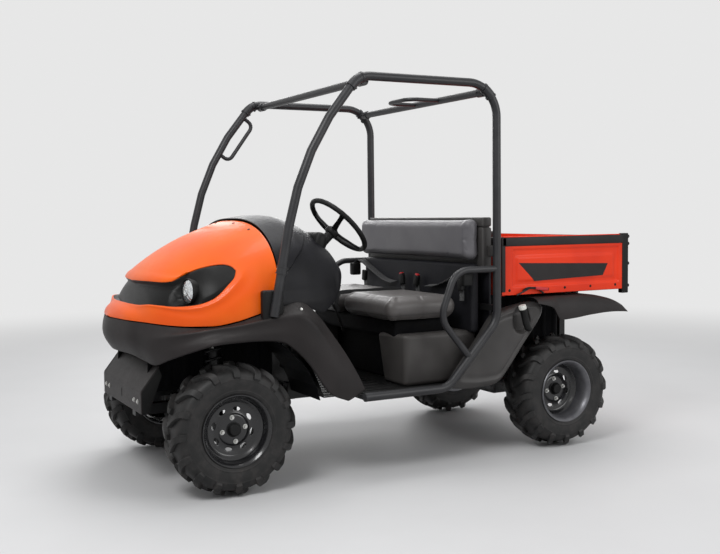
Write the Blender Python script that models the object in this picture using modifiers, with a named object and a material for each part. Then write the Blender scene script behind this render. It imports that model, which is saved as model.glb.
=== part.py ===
import math

import bmesh
import bpy
from mathutils import Matrix, Vector

# Side-by-side utility vehicle. Metres; forward is -Y, the driver's side is +X, +Z is up.
# The origin is on the ground, under the middle of the outer box.

# Clearances
seat_gap = 0.0003            # between pieces that touch
moving_gap = 0.006           # between a moving piece and its neighbours
overrun = 0.02               # how far a cutter passes its wall
weld_distance = 0.00001
rod_segments = 10

# Overall layout
overall_length = 2.800
overall_width = 1.400
front_end_y = -overall_length / 2
rear_end_y = overall_length / 2
front_overhang = 0.430
wheel_base = 1.900
front_axle_y = front_end_y + front_overhang
rear_axle_y = front_axle_y + wheel_base
track_half = 0.540
axle_z = 0.305

# Tyres and rims
tyre_width = 0.229
tyre_bead_radius = 0.1525
tyre_bead_width = 0.190
tyre_groove_radius = 0.287
tyre_shoulder_drop = 0.016
tyre_pitches = 16
lug_draft_share = 0.10       # of half a pitch
lug_lean_share = 0.55        # of half a pitch, from shoulder to centre
tread_share = 0.66           # of the half-width, flat under the lugs
rim_wall = 0.006
rim_flange_radius = 0.168
rim_disc_radius = 0.128
rim_steps = 16
front_disc_depth = 0.060     # from the outer flange to the disc's face
rear_disc_depth = 0.110
disc_wall = 0.008
hub_cap_radius = 0.032
hub_cap_length = 0.028
window_count = 8
window_radius = 0.011
window_circle_radius = 0.094
hub_flange_radius = 0.065

# Chassis frame
rail_x = 0.220
rail_width = 0.050
rail_height = 0.050
rail_top_z = 0.395
rail_rear_y = 1.270
upper_rail_x = 0.240
upper_rail_width = 0.040
upper_rail_height = 0.040
upper_rail_top_z = 0.805
upper_rail_front_y = 0.430
post_size = 0.038
outrigger_width = 0.030
outrigger_height = 0.026
tower_top_z = 0.800
tower_plate = 0.010
cross_depth = 0.036
liner_stub_y = -0.540
hood_stay_y = -0.935
hood_stay_x = 0.216
hood_stay_size = 0.022
hood_pad_radius = 0.005

# Roll-over hoops
tube_radius = 0.02135
hoop_x = 0.660
roof_z = 1.924
hoop_foot_y = -0.793
hoop_foot_z = 0.815
hoop_knee_y = -0.639
hoop_knee_z = 1.591
hoop_knee_bend = 1.360
roof_front_y = -0.338
roof_front_bend = 0.120
pillar_y = 0.450
roof_rear_bend = 0.165
elbow_z = 0.722
elbow_bend = 0.140
sill_rear_y = 0.1435
sill_bend = 0.120
sill_z = 0.399
sill_front_y = -0.330
bend_step_deg = 15.0
hip_top_z = 0.988
hip_front_y = 0.196
hip_bulge_y = 0.104
hip_bulge_z = 0.751
hip_foot_y = 0.281
hip_foot_z = 0.541
hip_bend = 0.110
hip_radius = 0.0175
cross_radius = 0.0190
front_cross_y = -0.300
front_cross_z = 1.905
rear_cross_y = 0.392
rear_cross_z = 1.885
handle_radius = 0.011
rear_handle_x = 0.110
rear_handle_half = 0.120
rear_handle_reach = 0.200
rear_handle_bend = 0.060
grip_low_y = -0.562
grip_low_z = 1.640
grip_high_y = -0.408
grip_high_z = 1.851
grip_reach = 0.085
grip_bend = 0.035

# Hood, bumper and fenders
body_wall = 0.004
hood_rear_y = -0.745
hood_half_width = 0.615
hood_height = 0.475
hood_base_z = 0.775
hood_squareness = 2.6         # of its rear section
nose_squareness = 2.0
bumper_reach = 0.017           # from the hood's lip to the bumper's belly
hood_arch_steps = 16
hood_gap = moving_gap
lamp_x = 0.450
lamp_setback = 0.253           # behind the hood's front end
lamp_z = 0.933
lamp_radius = 0.057
lamp_depth = 0.095
lamp_glass_inset = 0.006
lamp_glass_rise = 0.009
lamp_aim_shares = (0.52, -0.85, 0.04)
fender_bulge_reach = 0.028
fender_half_width = overall_width / 2 - fender_bulge_reach
fender_drop = 0.175
fender_steps = 4
liner_radius = 0.440
liner_inner_x = 0.275
liner_outer_x = 0.600
liner_low_deg = 12.0
liner_high_deg = 106.0
liner_step_deg = 9.0
liner_hole_radius = 0.062

# Cowl and steering
cowl_half_width = 0.615
cowl_length = 0.385
cowl_height = 0.420
cowl_base_z = 0.857
cowl_steps = 14
wheel_centre_x = 0.312
wheel_centre_y = -0.282
wheel_centre_z = 1.221
wheel_tilt_deg = 46.5
wheel_ring_radius = 0.172
wheel_grip_radius = 0.0135
wheel_hub_radius = 0.036
wheel_hub_length = 0.046
wheel_spoke_radius = 0.0095
wheel_dish = 0.045
wheel_ring_steps = 24
column_radius = 0.024
column_length = 0.330
cowl_stay_z = 1.020
cowl_stay_radius = 0.009
cowl_stay_inner_x = 0.580
cowl_stay_inner_y = -0.722

# Floor and seat
floor_wall = 0.004
floor_half_width = 0.566
floor_front_y = -0.500
floor_rear_y = 0.420
toe_top_y = -0.655
toe_top_z = 0.800
step_width = 0.070
seat_base_half = 0.545
seat_base_front_y = -0.040
seat_base_rear_y = 0.405
seat_base_top_z = 0.665
seat_base_lean = 0.050
seat_base_corner = 0.040
seat_pan_inset = 0.050
cushion_split = 0.012
cushion_width = 0.545
cushion_front_y = -0.135
cushion_rear_y = 0.300
cushion_bottom_z = 0.738
cushion_thickness = 0.118
cushion_round = 0.040
back_half_width = 0.592
back_front_y = 0.318
back_thickness = 0.085
back_bottom_z = 1.022
back_height = 0.230
back_round = 0.030
back_panel_thickness = 0.060
back_panel_bottom_z = 0.985
back_panel_half = 0.600
back_tab_height = 0.060

# Rear panels and flares
quarter_inner_x = 0.575
quarter_depth = hoop_x - tube_radius - seat_gap - quarter_inner_x
quarter_length = 0.606
quarter_height = 0.440
quarter_front_y = 0.182
quarter_bottom_z = 0.372
quarter_inset_share = 0.80
quarter_tab_y = 0.330
quarter_tab_width = 0.060
flare_inner_x = 0.420
flare_outer_x = 0.683
flare_front_y = 0.700
flare_length = 0.624
flare_top_z = 0.826
flare_depth = 0.130
filler_radius = 0.020
filler_length = 0.100
filler_lean = 0.030
filler_cap_radius = 0.020
filler_cap_length = 0.024
filler_y = 0.615
filler_z = 0.680

# Cargo bed and tailgate
bed_half_width = 0.620
bed_front_y = 0.512
bed_floor_bottom_z = 0.840
bed_top_z = 1.150
bed_wall = 0.026
bed_floor_wall = 0.024
bed_floor_rear_y = 1.333
bed_post_front_y = 1.343
bed_post_depth = 0.042
bed_post_width = 0.030
bed_rib_x = upper_rail_x
bed_pivot_y = 1.300
bed_pivot_z = 0.802
bed_pin_radius = 0.009
bed_ear_width = 0.014
bed_ear_radius = 0.020
latch_pin_radius = 0.008
gate_thickness = 0.034
gate_bottom_z = 0.866
gate_top_z = 1.138
gate_pivot_y = 1.367
gate_pivot_z = 0.853
gate_pin_radius = 0.006
gate_ear_radius = 0.012
gate_ear_width = 0.016

# Engine, axles and suspension
engine_half_width = 0.170
engine_front_y = 0.450
engine_length = 0.280
engine_height = 0.300
transaxle_half_width = 0.120
transaxle_length = 0.230
transaxle_height = 0.250
axle_radius = 0.030
axle_drum_radius = 0.070
axle_drum_length = 0.045
arm_radius = 0.018
arm_pivot_y = 0.470
arm_x = 0.290
shock_radius = 0.036
shock_rod_radius = 0.014
shock_x = 0.335
shock_low_y = 0.985
shock_low_z = 0.350
shock_high_y = 1.045
muffler_radius = 0.060
muffler_half_length = 0.190
muffler_y = 1.150
muffler_z = 0.600
diff_half_width = 0.095
diff_length = 0.180
diff_height = 0.150
kingpin_low_x = 0.410
kingpin_low_z = 0.215
kingpin_high_x = 0.300
kingpin_high_z = tower_top_z
knuckle_radius = 0.026
spindle_radius = 0.024
strut_radius = 0.024
spring_radius = 0.045
spring_low_z = 0.520
spring_high_z = 0.745
knuckle_low_z = 0.258
ball_radius = 0.010
lower_arm_radius = 0.014
lower_arm_x = 0.236
lower_arm_spread = 0.130
lower_arm_z = 0.300
shaft_radius = 0.013
shaft_boot_radius = 0.030
steer_arm_length = 0.100
steer_arm_size = 0.014
steer_arm_z = 0.391
rack_z = 0.425
rack_radius = 0.011
rack_case_size = 0.036
rack_end_x = 0.372

# Front plate and rear hitch
plate_half_width = 0.345
plate_y = -1.326
plate_wall = 0.006
rail_front_y = plate_y + seat_gap
plate_low_z = 0.368
plate_high_z = 0.475
plate_slot_half = 0.009
plate_slot_height = 0.040
plate_slope_top_z = 0.585
plate_slope_top_y = -1.240
hitch_half_width = 0.060
hitch_depth = 0.060
hitch_wall = 0.008

# Finishes: colour, roughness and metallic share
finish_shares = {
    "orange": ((0.80, 0.095, 0.020), 0.30, 0.0),
    "bed_red": ((0.74, 0.060, 0.016), 0.34, 0.0),
    "charcoal": ((0.048, 0.045, 0.041), 0.62, 0.0),
    "tube": ((0.050, 0.052, 0.055), 0.38, 0.3),
    "vinyl": ((0.125, 0.124, 0.126), 0.45, 0.0),
    "black": ((0.012, 0.012, 0.013), 0.55, 0.0),
    "rubber": ((0.018, 0.017, 0.016), 0.80, 0.0),
    "rim": ((0.035, 0.035, 0.038), 0.42, 0.4),
    "steel": ((0.18, 0.18, 0.19), 0.45, 0.8),
    "lamp": ((0.70, 0.72, 0.74), 0.08, 0.0),
}

for old_object in list(bpy.data.objects):
    bpy.data.objects.remove(old_object, do_unlink=True)

parts = bpy.data.collections.new("side_by_side_utv")
bpy.context.scene.collection.children.link(parts)


def finish_for(name, finish):
    """One Principled material for one piece."""
    colour, roughness, metallic = finish_shares[finish]
    material = bpy.data.materials.new(name)
    material.use_nodes = True
    shader = material.node_tree.nodes["Principled BSDF"]
    shader.inputs["Base Color"].default_value = (*colour, 1.0)
    shader.inputs["Roughness"].default_value = roughness
    shader.inputs["Metallic"].default_value = metallic
    return material


def piece_from(name, form, finish="steel"):
    """Turns a bmesh into a named object of the part."""
    bmesh.ops.remove_doubles(form, verts=form.verts, dist=weld_distance)
    bmesh.ops.recalc_face_normals(form, faces=form.faces)
    mesh = bpy.data.meshes.new(name)
    form.to_mesh(mesh)
    form.free()
    piece = bpy.data.objects.new(name, mesh)
    parts.objects.link(piece)
    mesh.materials.append(finish_for(name, finish))
    return piece


def evaluated_mesh(piece):
    """The mesh of an object with its modifiers applied."""
    graph = bpy.context.evaluated_depsgraph_get()
    graph.update()
    return bpy.data.meshes.new_from_object(piece.evaluated_get(graph))


def apply_modifiers(piece):
    mesh = evaluated_mesh(piece)
    piece.modifiers.clear()
    piece.data = mesh
    return piece


def combine(piece, tools, operation):
    """Joins or cuts a piece with tool objects, which are then removed."""
    for tool in tools:
        boolean = piece.modifiers.new(operation.lower(), "BOOLEAN")
        boolean.operation = operation
        boolean.solver = "EXACT"
        boolean.object = tool
        apply_modifiers(piece)
        bpy.data.objects.remove(tool, do_unlink=True)
    return piece


def joined(piece, tools):
    return combine(piece, tools, "UNION")


def cut(piece, tools):
    return combine(piece, tools, "DIFFERENCE")


def mirrored(piece, name, finish):
    """The same piece on the other side of the vehicle."""
    form = bmesh.new()
    form.from_mesh(piece.data)
    bmesh.ops.transform(form, matrix=Matrix.Scale(-1.0, 4, (1.0, 0.0, 0.0)), verts=form.verts)
    return piece_from(name, form, finish)


def rounded(piece, width, segments=2, angle_deg=40.0):
    bevel = piece.modifiers.new("rounding", "BEVEL")
    bevel.width = width
    bevel.segments = segments
    bevel.limit_method = "ANGLE"
    bevel.angle_limit = math.radians(angle_deg)
    return apply_modifiers(piece)


def smooth(piece, angle_deg=35.0):
    piece.data.shade_smooth()
    piece.data.set_sharp_from_angle(angle=math.radians(angle_deg))
    return piece


def box(name, low, high, finish="steel"):
    """A box between two corners."""
    low, high = Vector(low), Vector(high)
    form = bmesh.new()
    bmesh.ops.create_cube(form, size=1.0)
    size = high - low
    bmesh.ops.scale(form, vec=size, verts=form.verts)
    bmesh.ops.translate(form, vec=(low + high) / 2, verts=form.verts)
    return piece_from(name, form, finish)


def rod(name, start, end, radius, finish="steel", end_radius=None, segments=rod_segments):
    """A round bar or cone between two points."""
    start, end = Vector(start), Vector(end)
    form = bmesh.new()
    bmesh.ops.create_cone(form, cap_ends=True, segments=segments, radius1=radius,
                          radius2=radius if end_radius is None else end_radius,
                          depth=(end - start).length)
    turn = (end - start).to_track_quat("Z", "Y").to_matrix().to_4x4()
    bmesh.ops.transform(form, matrix=Matrix.Translation((start + end) / 2) @ turn, verts=form.verts)
    return smooth(piece_from(name, form, finish))


def eye_hole(low_x, high_x, y, z, pin_radius, segments):
    """Cutter for the hole round a hinge pin; the pin's corners clear its flats as it turns."""
    radius = (pin_radius + seat_gap) / math.cos(math.pi / segments)
    return rod("hole", (low_x - overrun, y, z), (high_x + overrun, y, z), radius, segments=segments)


def bent_path(corners):
    """Points along straight runs joined by arcs; each corner is (point, bend radius)."""
    path = [corners[0][0]]
    for (before, _), (corner, bend), (after, _) in zip(corners, corners[1:], corners[2:]):
        to_before = (before - corner).normalized()
        to_after = (after - corner).normalized()
        turn = math.pi - to_before.angle(to_after)
        reach = bend * math.tan(turn / 2)
        middle = (to_before + to_after).normalized()
        centre = corner + middle * (bend / math.cos(turn / 2))
        start = corner + to_before * reach - centre
        axis = start.cross(corner + to_after * reach - centre).normalized()
        steps = max(2, round(math.degrees(turn) / bend_step_deg))
        for step in range(steps + 1):
            path.append(centre + Matrix.Rotation(turn * step / steps, 3, axis) @ start)
    path.append(corners[-1][0])
    return path


def tube(name, path, radius, finish="tube", resolution=2):
    """A round tube along a path, with closed ends."""
    curve = bpy.data.curves.new(name, "CURVE")
    curve.dimensions = "3D"
    curve.bevel_depth = radius
    curve.bevel_resolution = resolution
    curve.use_fill_caps = True
    spline = curve.splines.new("POLY")
    spline.points.add(len(path) - 1)
    for point, place in zip(spline.points, path):
        point.co = (*place, 1.0)
    guide = bpy.data.objects.new(name + "_path", curve)
    parts.objects.link(guide)
    form = bmesh.new()
    form.from_mesh(evaluated_mesh(guide))
    bpy.data.objects.remove(guide, do_unlink=True)
    return smooth(piece_from(name, form, finish))


def side_plate(name, outline, low_x, high_x, finish="steel"):
    """An outline in side view, (y, z), between two planes across the vehicle."""
    form = bmesh.new()
    face = form.faces.new([form.verts.new((low_x, y, z)) for y, z in outline])
    grown = bmesh.ops.extrude_face_region(form, geom=[face])
    moved = [item for item in grown["geom"] if isinstance(item, bmesh.types.BMVert)]
    bmesh.ops.translate(form, vec=(high_x - low_x, 0.0, 0.0), verts=moved)
    return piece_from(name, form, finish)


def ribbon(path, wall):
    """The outline of a bent sheet of the given wall, from its upper line, (y, z)."""
    under = []
    for index, (y, z) in enumerate(path):
        before = Vector(path[max(index - 1, 0)])
        after = Vector(path[min(index + 1, len(path) - 1)])
        along = (after - before).normalized()
        under.append((y - along.y * wall, z + along.x * wall))
    return list(path) + under[::-1]


def shell(name, rows, wall, finish):
    """A sheet through rows of points, thickened towards its inner side."""
    form = bmesh.new()
    grid = [[form.verts.new(point) for point in row] for row in rows]
    for row, next_row in zip(grid, grid[1:]):
        for a, b, c, d in zip(row, row[1:], next_row[1:], next_row):
            form.faces.new((a, b, c, d))
    piece = piece_from(name, form, finish)
    solid = piece.modifiers.new("wall", "SOLIDIFY")
    solid.thickness = wall
    solid.offset = -1.0
    solid.use_even_offset = True
    apply_modifiers(piece)
    return smooth(piece)


def turned(name, profile, centre_x, centre_y, centre_z, steps, side, finish):
    """A closed profile, (radius, offset to the outer side), turned about the axle line."""
    form = bmesh.new()
    corners = [form.verts.new((radius, 0.0, offset)) for radius, offset in profile]
    for corner, next_corner in zip(corners, corners[1:] + corners[:1]):
        form.edges.new((corner, next_corner))
    piece = piece_from(name, form, finish)
    screw = piece.modifiers.new("turn", "SCREW")
    screw.steps = steps
    screw.render_steps = steps
    screw.use_merge_vertices = True
    screw.merge_threshold = weld_distance
    mesh = evaluated_mesh(piece)
    bpy.data.objects.remove(piece, do_unlink=True)
    form = bmesh.new()
    form.from_mesh(mesh)
    to_axle = Matrix.Rotation(side * math.pi / 2, 4, "Y")
    bmesh.ops.transform(form, matrix=Matrix.Translation((centre_x, centre_y, centre_z)) @ to_axle,
                        verts=form.verts)
    return smooth(piece_from(name, form, finish))


# Wheels

# Columns: radius share from bead to tread, half-width share, lug height share
tyre_profile_shares = (
    (0.00, 0.80, 0.0),
    (0.42, 1.00, 0.0),
    (0.84, 0.93, 1.0),
    (1.00, tread_share, 1.0),
    (1.00, 0.06, 1.0),
)


def tyre(name, centre_x, centre_y):
    """A carcass with lugs on its shoulders, left and right by turns, leaning to a chevron."""
    half = tyre_width / 2
    lug_height = axle_z - tyre_groove_radius
    half_pitch = math.pi / tyre_pitches
    # Turned so that one lug's edge is the lowest point
    start = -math.pi / 2 - half_pitch * (lug_draft_share / 2 + lug_lean_share * (1.0 - tread_share))
    ring = [(share, -across, lug) for share, across, lug in tyre_profile_shares]
    ring += [(share, across, lug) for share, across, lug in reversed(tyre_profile_shares)]
    form = bmesh.new()
    columns = []
    for cell in range(2 * tyre_pitches):
        lug_side = -1 if cell % 2 == 0 else 1
        for edge_share in (lug_draft_share / 2, 1.0 - lug_draft_share / 2):
            column = []
            for share, across, lug in ring:
                radius = tyre_bead_radius + share * (tyre_groove_radius - tyre_bead_radius)
                raised = lug * lug_height if across * lug_side > 0 else 0.0
                lean = lug_lean_share * lug * (1.0 - abs(across))
                angle = start + half_pitch * (cell + edge_share + lean)
                drop = tyre_shoulder_drop * lug * max(0.0, abs(across) - tread_share)
                reach = radius + raised - drop
                column.append(form.verts.new((centre_x + across * half,
                                              centre_y + reach * math.cos(angle),
                                              axle_z + reach * math.sin(angle))))
            columns.append(column)
    for column, next_column in zip(columns, columns[1:] + columns[:1]):
        loop = list(zip(column, next_column))
        for (a, b), (c, d) in zip(loop, loop[1:] + loop[:1]):
            form.faces.new((a, b, d, c))
    return smooth(piece_from(name, form, "rubber"), 30.0)


def rim(name, centre_x, centre_y, disc_depth):
    """A dished steel rim: barrel with flanges, a disc with round windows and a cap."""
    side = math.copysign(1.0, centre_x)
    flat = math.pi / tyre_pitches * (1.0 - lug_draft_share) / 2
    seat = tyre_bead_radius * math.cos(flat) - seat_gap
    flange = tyre_bead_width / 2 + rim_wall
    disc = flange - disc_depth
    profile = (
        (rim_flange_radius, flange), (seat, flange - rim_wall), (seat, -flange + rim_wall),
        (rim_flange_radius, -flange), (seat - rim_wall, -flange), (rim_disc_radius, disc - disc_wall * 2),
        (rim_disc_radius, disc - disc_wall), (hub_cap_radius / 2, disc - disc_wall),
        (hub_cap_radius / 2, disc + hub_cap_length), (hub_cap_radius, disc + hub_cap_length),
        (hub_cap_radius, disc), (rim_disc_radius, disc), (seat - rim_wall, flange),
    )
    piece = turned(name, profile, centre_x, centre_y, axle_z, rim_steps, side, "rim")
    face_x = centre_x + side * disc
    windows = []
    for index in range(window_count):
        angle = 2 * math.pi * (index + 0.5) / window_count
        y = centre_y + window_circle_radius * math.cos(angle)
        z = axle_z + window_circle_radius * math.sin(angle)
        windows.append(rod("window", (face_x - side * overrun, y, z), (face_x + side * overrun, y, z),
                           window_radius, segments=6))
    cut(piece, windows)
    return smooth(piece)


def build_wheels():
    # Columns: name end, side, axle, disc depth
    for where, side, axle_y, depth in (
            ("front_left", 1, front_axle_y, front_disc_depth),
            ("front_right", -1, front_axle_y, front_disc_depth),
            ("rear_left", 1, rear_axle_y, rear_disc_depth),
            ("rear_right", -1, rear_axle_y, rear_disc_depth)):
        tyre("tyre_" + where, side * track_half, axle_y)
        rim("rim_" + where, side * track_half, axle_y, depth)


# Chassis


def beam(low_x, high_x, low_y, high_y, low_z, high_z):
    return box("beam", (low_x, low_y, low_z), (high_x, high_y, high_z))


def hood_underside(x, y):
    """The point of the hood's inner face above a place, and the direction that it faces."""
    hit, place, facing, _ = bpy.data.objects["hood"].ray_cast(Vector((x, y, 0.0)), Vector((0.0, 0.0, 1.0)))
    return place, facing


def build_frame():
    rail_low = rail_top_z - rail_height
    upper_low = upper_rail_top_z - upper_rail_height
    inner_x = rail_x - rail_width / 2
    outer_x = rail_x + rail_width / 2
    sill_face = hoop_x - tube_radius - seat_gap
    frame = beam(-outer_x, -inner_x, rail_front_y, rail_rear_y, rail_low, rail_top_z)
    frame.name = "chassis_frame"
    welds = [beam(inner_x, outer_x, rail_front_y, rail_rear_y, rail_low, rail_top_z)]
    inside = rail_height * 0.1
    # Cross members between the rails
    for y in (rail_front_y + cross_depth * 2, floor_front_y, arm_pivot_y, rail_rear_y - cross_depth * 2):
        welds.append(beam(-rail_x, rail_x, y - cross_depth / 2, y + cross_depth / 2,
                          rail_low + inside, rail_top_z - inside))
    # Outriggers out to the sill tubes
    for y in (floor_front_y + cross_depth * 6, sill_rear_y - cross_depth * 3):
        welds.append(beam(-sill_face, sill_face, y - outrigger_width / 2, y + outrigger_width / 2,
                          sill_z - seat_gap - outrigger_height, sill_z - seat_gap))
    for side in (-1, 1):
        # Upper rails that carry the bed, on two posts each
        x = side * upper_rail_x
        half = upper_rail_width / 2
        welds.append(beam(x - half, x + half, upper_rail_front_y, rail_rear_y, upper_low, upper_rail_top_z))
        for y in (arm_pivot_y + post_size * 1.5, rail_rear_y - post_size):
            welds.append(beam(side * rail_x - post_size / 2, side * rail_x + post_size / 2,
                              y - post_size / 2, y + post_size / 2, rail_top_z - inside, upper_low + inside))
        # Strut tower
        welds.append(beam(side * rail_x - post_size / 2, side * rail_x + post_size / 2,
                          front_axle_y - post_size / 2, front_axle_y + post_size / 2,
                          rail_top_z - inside, tower_top_z + tower_plate / 2))
        low_x, high_x = sorted((side * (rail_x - post_size), side * (kingpin_high_x + spring_radius)))
        welds.append(beam(low_x, high_x, front_axle_y - spring_radius, front_axle_y + spring_radius,
                          tower_top_z + seat_gap, tower_top_z + tower_plate))
        # Stub beside the foot of the wheel arch's liner
        low_x, high_x = sorted((side * rail_x, side * (liner_inner_x - seat_gap)))
        welds.append(beam(low_x, high_x, liner_stub_y - post_size / 2, liner_stub_y + post_size / 2,
                          rail_low + inside, rail_top_z + post_size))
        # Post and pad that the closed hood rests on
        x, y = side * hood_stay_x, hood_stay_y
        pad, facing = hood_underside(x, y)
        welds.append(rod("pad", pad + facing * seat_gap, pad + facing * hood_stay_size * 1.5, hood_pad_radius))
        foot = pad + facing * hood_stay_size
        welds.append(beam(x - hood_stay_size / 2, x + hood_stay_size / 2, foot.y - hood_stay_size / 2,
                          foot.y + hood_stay_size / 2, rail_top_z - inside, foot.z))
        # Bed hinge lug and pin
        pin = rod("pin", (side * (upper_rail_x - half), bed_pivot_y, bed_pivot_z),
                  (side * (upper_rail_x + half + moving_gap + bed_ear_width * 1.5), bed_pivot_y, bed_pivot_z),
                  bed_pin_radius, segments=12)
        welds.append(pin)
        welds.append(beam(x - half + inside, x + half - inside, rail_rear_y - overrun,
                          bed_pivot_y + bed_pin_radius * 1.5, upper_low + inside,
                          bed_pivot_z + bed_pin_radius * 1.5))
    # Cross members under the bed: the front one reaches the pillars
    for y, reach in ((pillar_y, hoop_x - tube_radius - seat_gap), (muffler_y, upper_rail_x)):
        welds.append(beam(-reach, reach, y - cross_depth / 2, y + cross_depth / 2,
                          upper_low + inside, upper_rail_top_z - inside))
    # Shock towers, which also carry the flares
    flare_under = flare_top_z - body_wall - seat_gap
    for side in (-1, 1):
        low_x, high_x = sorted((side * upper_rail_x, side * (flare_inner_x + overrun)))
        welds.append(beam(low_x, high_x, shock_high_y - shock_rod_radius, shock_high_y + shock_rod_radius,
                          upper_low + inside, upper_rail_top_z - inside))
        low_x, high_x = sorted((side * (upper_rail_x + upper_rail_width + moving_gap),
                                side * (flare_inner_x + overrun)))
        welds.append(beam(low_x, high_x, shock_high_y - shock_rod_radius + inside / 2,
                          shock_high_y + shock_rod_radius - inside / 2, upper_low + inside * 2, flare_under))
    # Rear hitch plate
    welds.append(beam(-hitch_half_width, hitch_half_width, rail_rear_y - cross_depth * 2,
                      rail_rear_y + hitch_depth, rail_low + inside * 2, rail_low + inside * 2 + hitch_wall))
    # Bored case that the steering rack slides in
    rack_y = front_axle_y + steer_arm_length
    welds.append(beam(-outer_x, outer_x, rack_y - rack_case_size / 2, rack_y + rack_case_size / 2,
                      rail_top_z - inside, rack_z + rack_case_size / 2))
    joined(frame, welds)
    cut(frame, [rod("bore", (-outer_x - overrun, rack_y, rack_z), (outer_x + overrun, rack_y, rack_z),
                    rack_radius + seat_gap)])


def hoop_corners():
    place = lambda y, z: Vector((hoop_x, y, z))
    return [
        (place(hoop_foot_y, hoop_foot_z), 0.0),
        (place(hoop_knee_y, hoop_knee_z), hoop_knee_bend),
        (place(roof_front_y, roof_z), roof_front_bend),
        (place(pillar_y, roof_z), roof_rear_bend),
        (place(pillar_y, elbow_z), elbow_bend),
        (place(sill_rear_y, sill_z), sill_bend),
        (place(sill_front_y, sill_z), 0.0),
    ]


def hip_corners():
    place = lambda y, z: Vector((hoop_x, y, z))
    return [
        (place(pillar_y, hip_top_z), 0.0),
        (place(hip_front_y, hip_top_z), hip_bend),
        (place(hip_bulge_y, hip_bulge_z), hip_bend),
        (place(hip_foot_y, hip_foot_z), 0.0),
    ]


def build_hoops():
    left = tube("hoop_left", bent_path(hoop_corners()), tube_radius)
    joined(left, [tube("hip", bent_path(hip_corners()), hip_radius)])
    smooth(left)
    right = mirrored(left, "hoop_right", "tube")
    # Grab handle on the passenger's front leg
    along = Vector((0.0, grip_high_y - grip_low_y, grip_high_z - grip_low_z)).normalized()
    inward = Vector((0.0, along.z, -along.y))
    low = Vector((-hoop_x, grip_low_y, grip_low_z))
    high = Vector((-hoop_x, grip_high_y, grip_high_z))
    corners = [(low, 0.0), (low + inward * grip_reach, grip_bend),
               (high + inward * grip_reach, grip_bend), (high, 0.0)]
    joined(right, [tube("grip", bent_path(corners), handle_radius)])
    smooth(right)


def build_cross_bars():
    reach = hoop_x - tube_radius - seat_gap
    tube("roof_cross_front", [Vector((-reach, front_cross_y, front_cross_z)),
                              Vector((reach, front_cross_y, front_cross_z))], cross_radius)
    rear = tube("roof_cross_rear", [Vector((-reach, rear_cross_y, rear_cross_z)),
                                    Vector((reach, rear_cross_y, rear_cross_z))], cross_radius)
    place = lambda x, y: Vector((x, y, rear_cross_z))
    low_x, high_x = rear_handle_x - rear_handle_half, rear_handle_x + rear_handle_half
    front = rear_cross_y - rear_handle_reach
    corners = [(place(low_x, rear_cross_y), 0.0), (place(low_x, front), rear_handle_bend),
               (place(high_x, front), rear_handle_bend), (place(high_x, rear_cross_y), 0.0)]
    joined(rear, [tube("loop", bent_path(corners), handle_radius)])
    smooth(rear)


# Body

# Columns: y share of the hood's length, half-width share, seam height share, crown height share,
# fender lip: x share, y offset share and z share, and bulge share
nose_shares = (
    (0.000, 0.030, 0.046, 0.058, 0.00, 0.075, 0.00, 0.16),
    (0.052, 0.325, 0.042, 0.147, 0.28, 0.070, 0.00, 0.15),
    (0.118, 0.488, 0.036, 0.210, 0.44, 0.050, -0.02, 0.15),
    (0.180, 0.618, 0.028, 0.390, 0.585, 0.000, -0.07, 0.15),
    (0.263, 0.740, 0.017, 0.516, 0.735, -0.04, 0.14, 0.15),
    (0.373, 0.845, 0.010, 0.621, 0.86, -0.04, 0.36, 0.16),
    (0.514, 0.919, 0.010, 0.737, 0.95, -0.03, 0.56, 0.16),
    (0.671, 0.963, 0.042, 0.842, 0.980, -0.02, 0.60, 0.18),
    (0.835, 0.989, 0.105, 0.926, 0.990, -0.02, 0.59, 0.20),
    (1.000, 1.000, 0.172, 1.000, 0.995, -0.03, 0.52, 0.22),
)
# Columns, in metres as shares of the fender's half-width and drop below the hood's base:
# seam x, seam y, seam z, lip x, lip y, lip z, bulge
leg_shares = (
    (0.920, 0.10, 0.55, 1.000, 0.045, -0.72, 0.24),
    (0.930, 0.17, 0.30, 1.000, 0.100, -1.05, 0.20),
    (0.940, 0.24, -0.20, 1.000, 0.140, -1.35, 0.16),
    (0.948, 0.325, -0.88, 1.000, 0.180, -1.70, 0.12),
    (0.954, 0.390, -1.50, 1.000, 0.230, -1.98, 0.08),
    (0.954, 0.430, -1.95, 0.990, 0.320, -2.18, 0.04),
)
hood_front_y = front_end_y + bumper_reach
hood_length = hood_rear_y - hood_front_y
fender_lip_z = 0.612


def nose_stations():
    """Hood and fender stations in metres, front to rear."""
    for y, width, seam, crown, lip_x, lip_y, lip_z, bulge in nose_shares:
        station_y = hood_front_y + y * hood_length
        seam_z = hood_base_z + seam * hood_height
        yield {
            "y": station_y,
            "half_width": width * hood_half_width,
            "seam_z": seam_z,
            "crown_z": hood_base_z + crown * hood_height,
            "lip": Vector((lip_x * fender_half_width, station_y + lip_y * fender_drop * 2,
                           fender_lip_z + lip_z * fender_drop)),
            "bulge": bulge,
        }


def arch(y, half_width, low_z, crown_z, squareness, steps):
    """One section across the vehicle: a squared half ellipse."""
    row = []
    for step in range(steps + 1):
        angle = math.pi * step / steps
        across = math.copysign(abs(math.cos(angle)) ** (2 / squareness), math.cos(angle))
        rise = abs(math.sin(angle)) ** (2 / squareness)
        row.append((half_width * across, y, low_z + (crown_z - low_z) * rise))
    return row


def build_hood():
    rows = []
    for station in nose_stations():
        back_share = (station["y"] - hood_front_y) / hood_length
        squareness = nose_squareness + back_share * (hood_squareness - nose_squareness)
        rows.append(arch(station["y"], station["half_width"], station["seam_z"], station["crown_z"],
                         squareness, hood_arch_steps))
    shell("hood", rows, body_wall, "orange")


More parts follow.
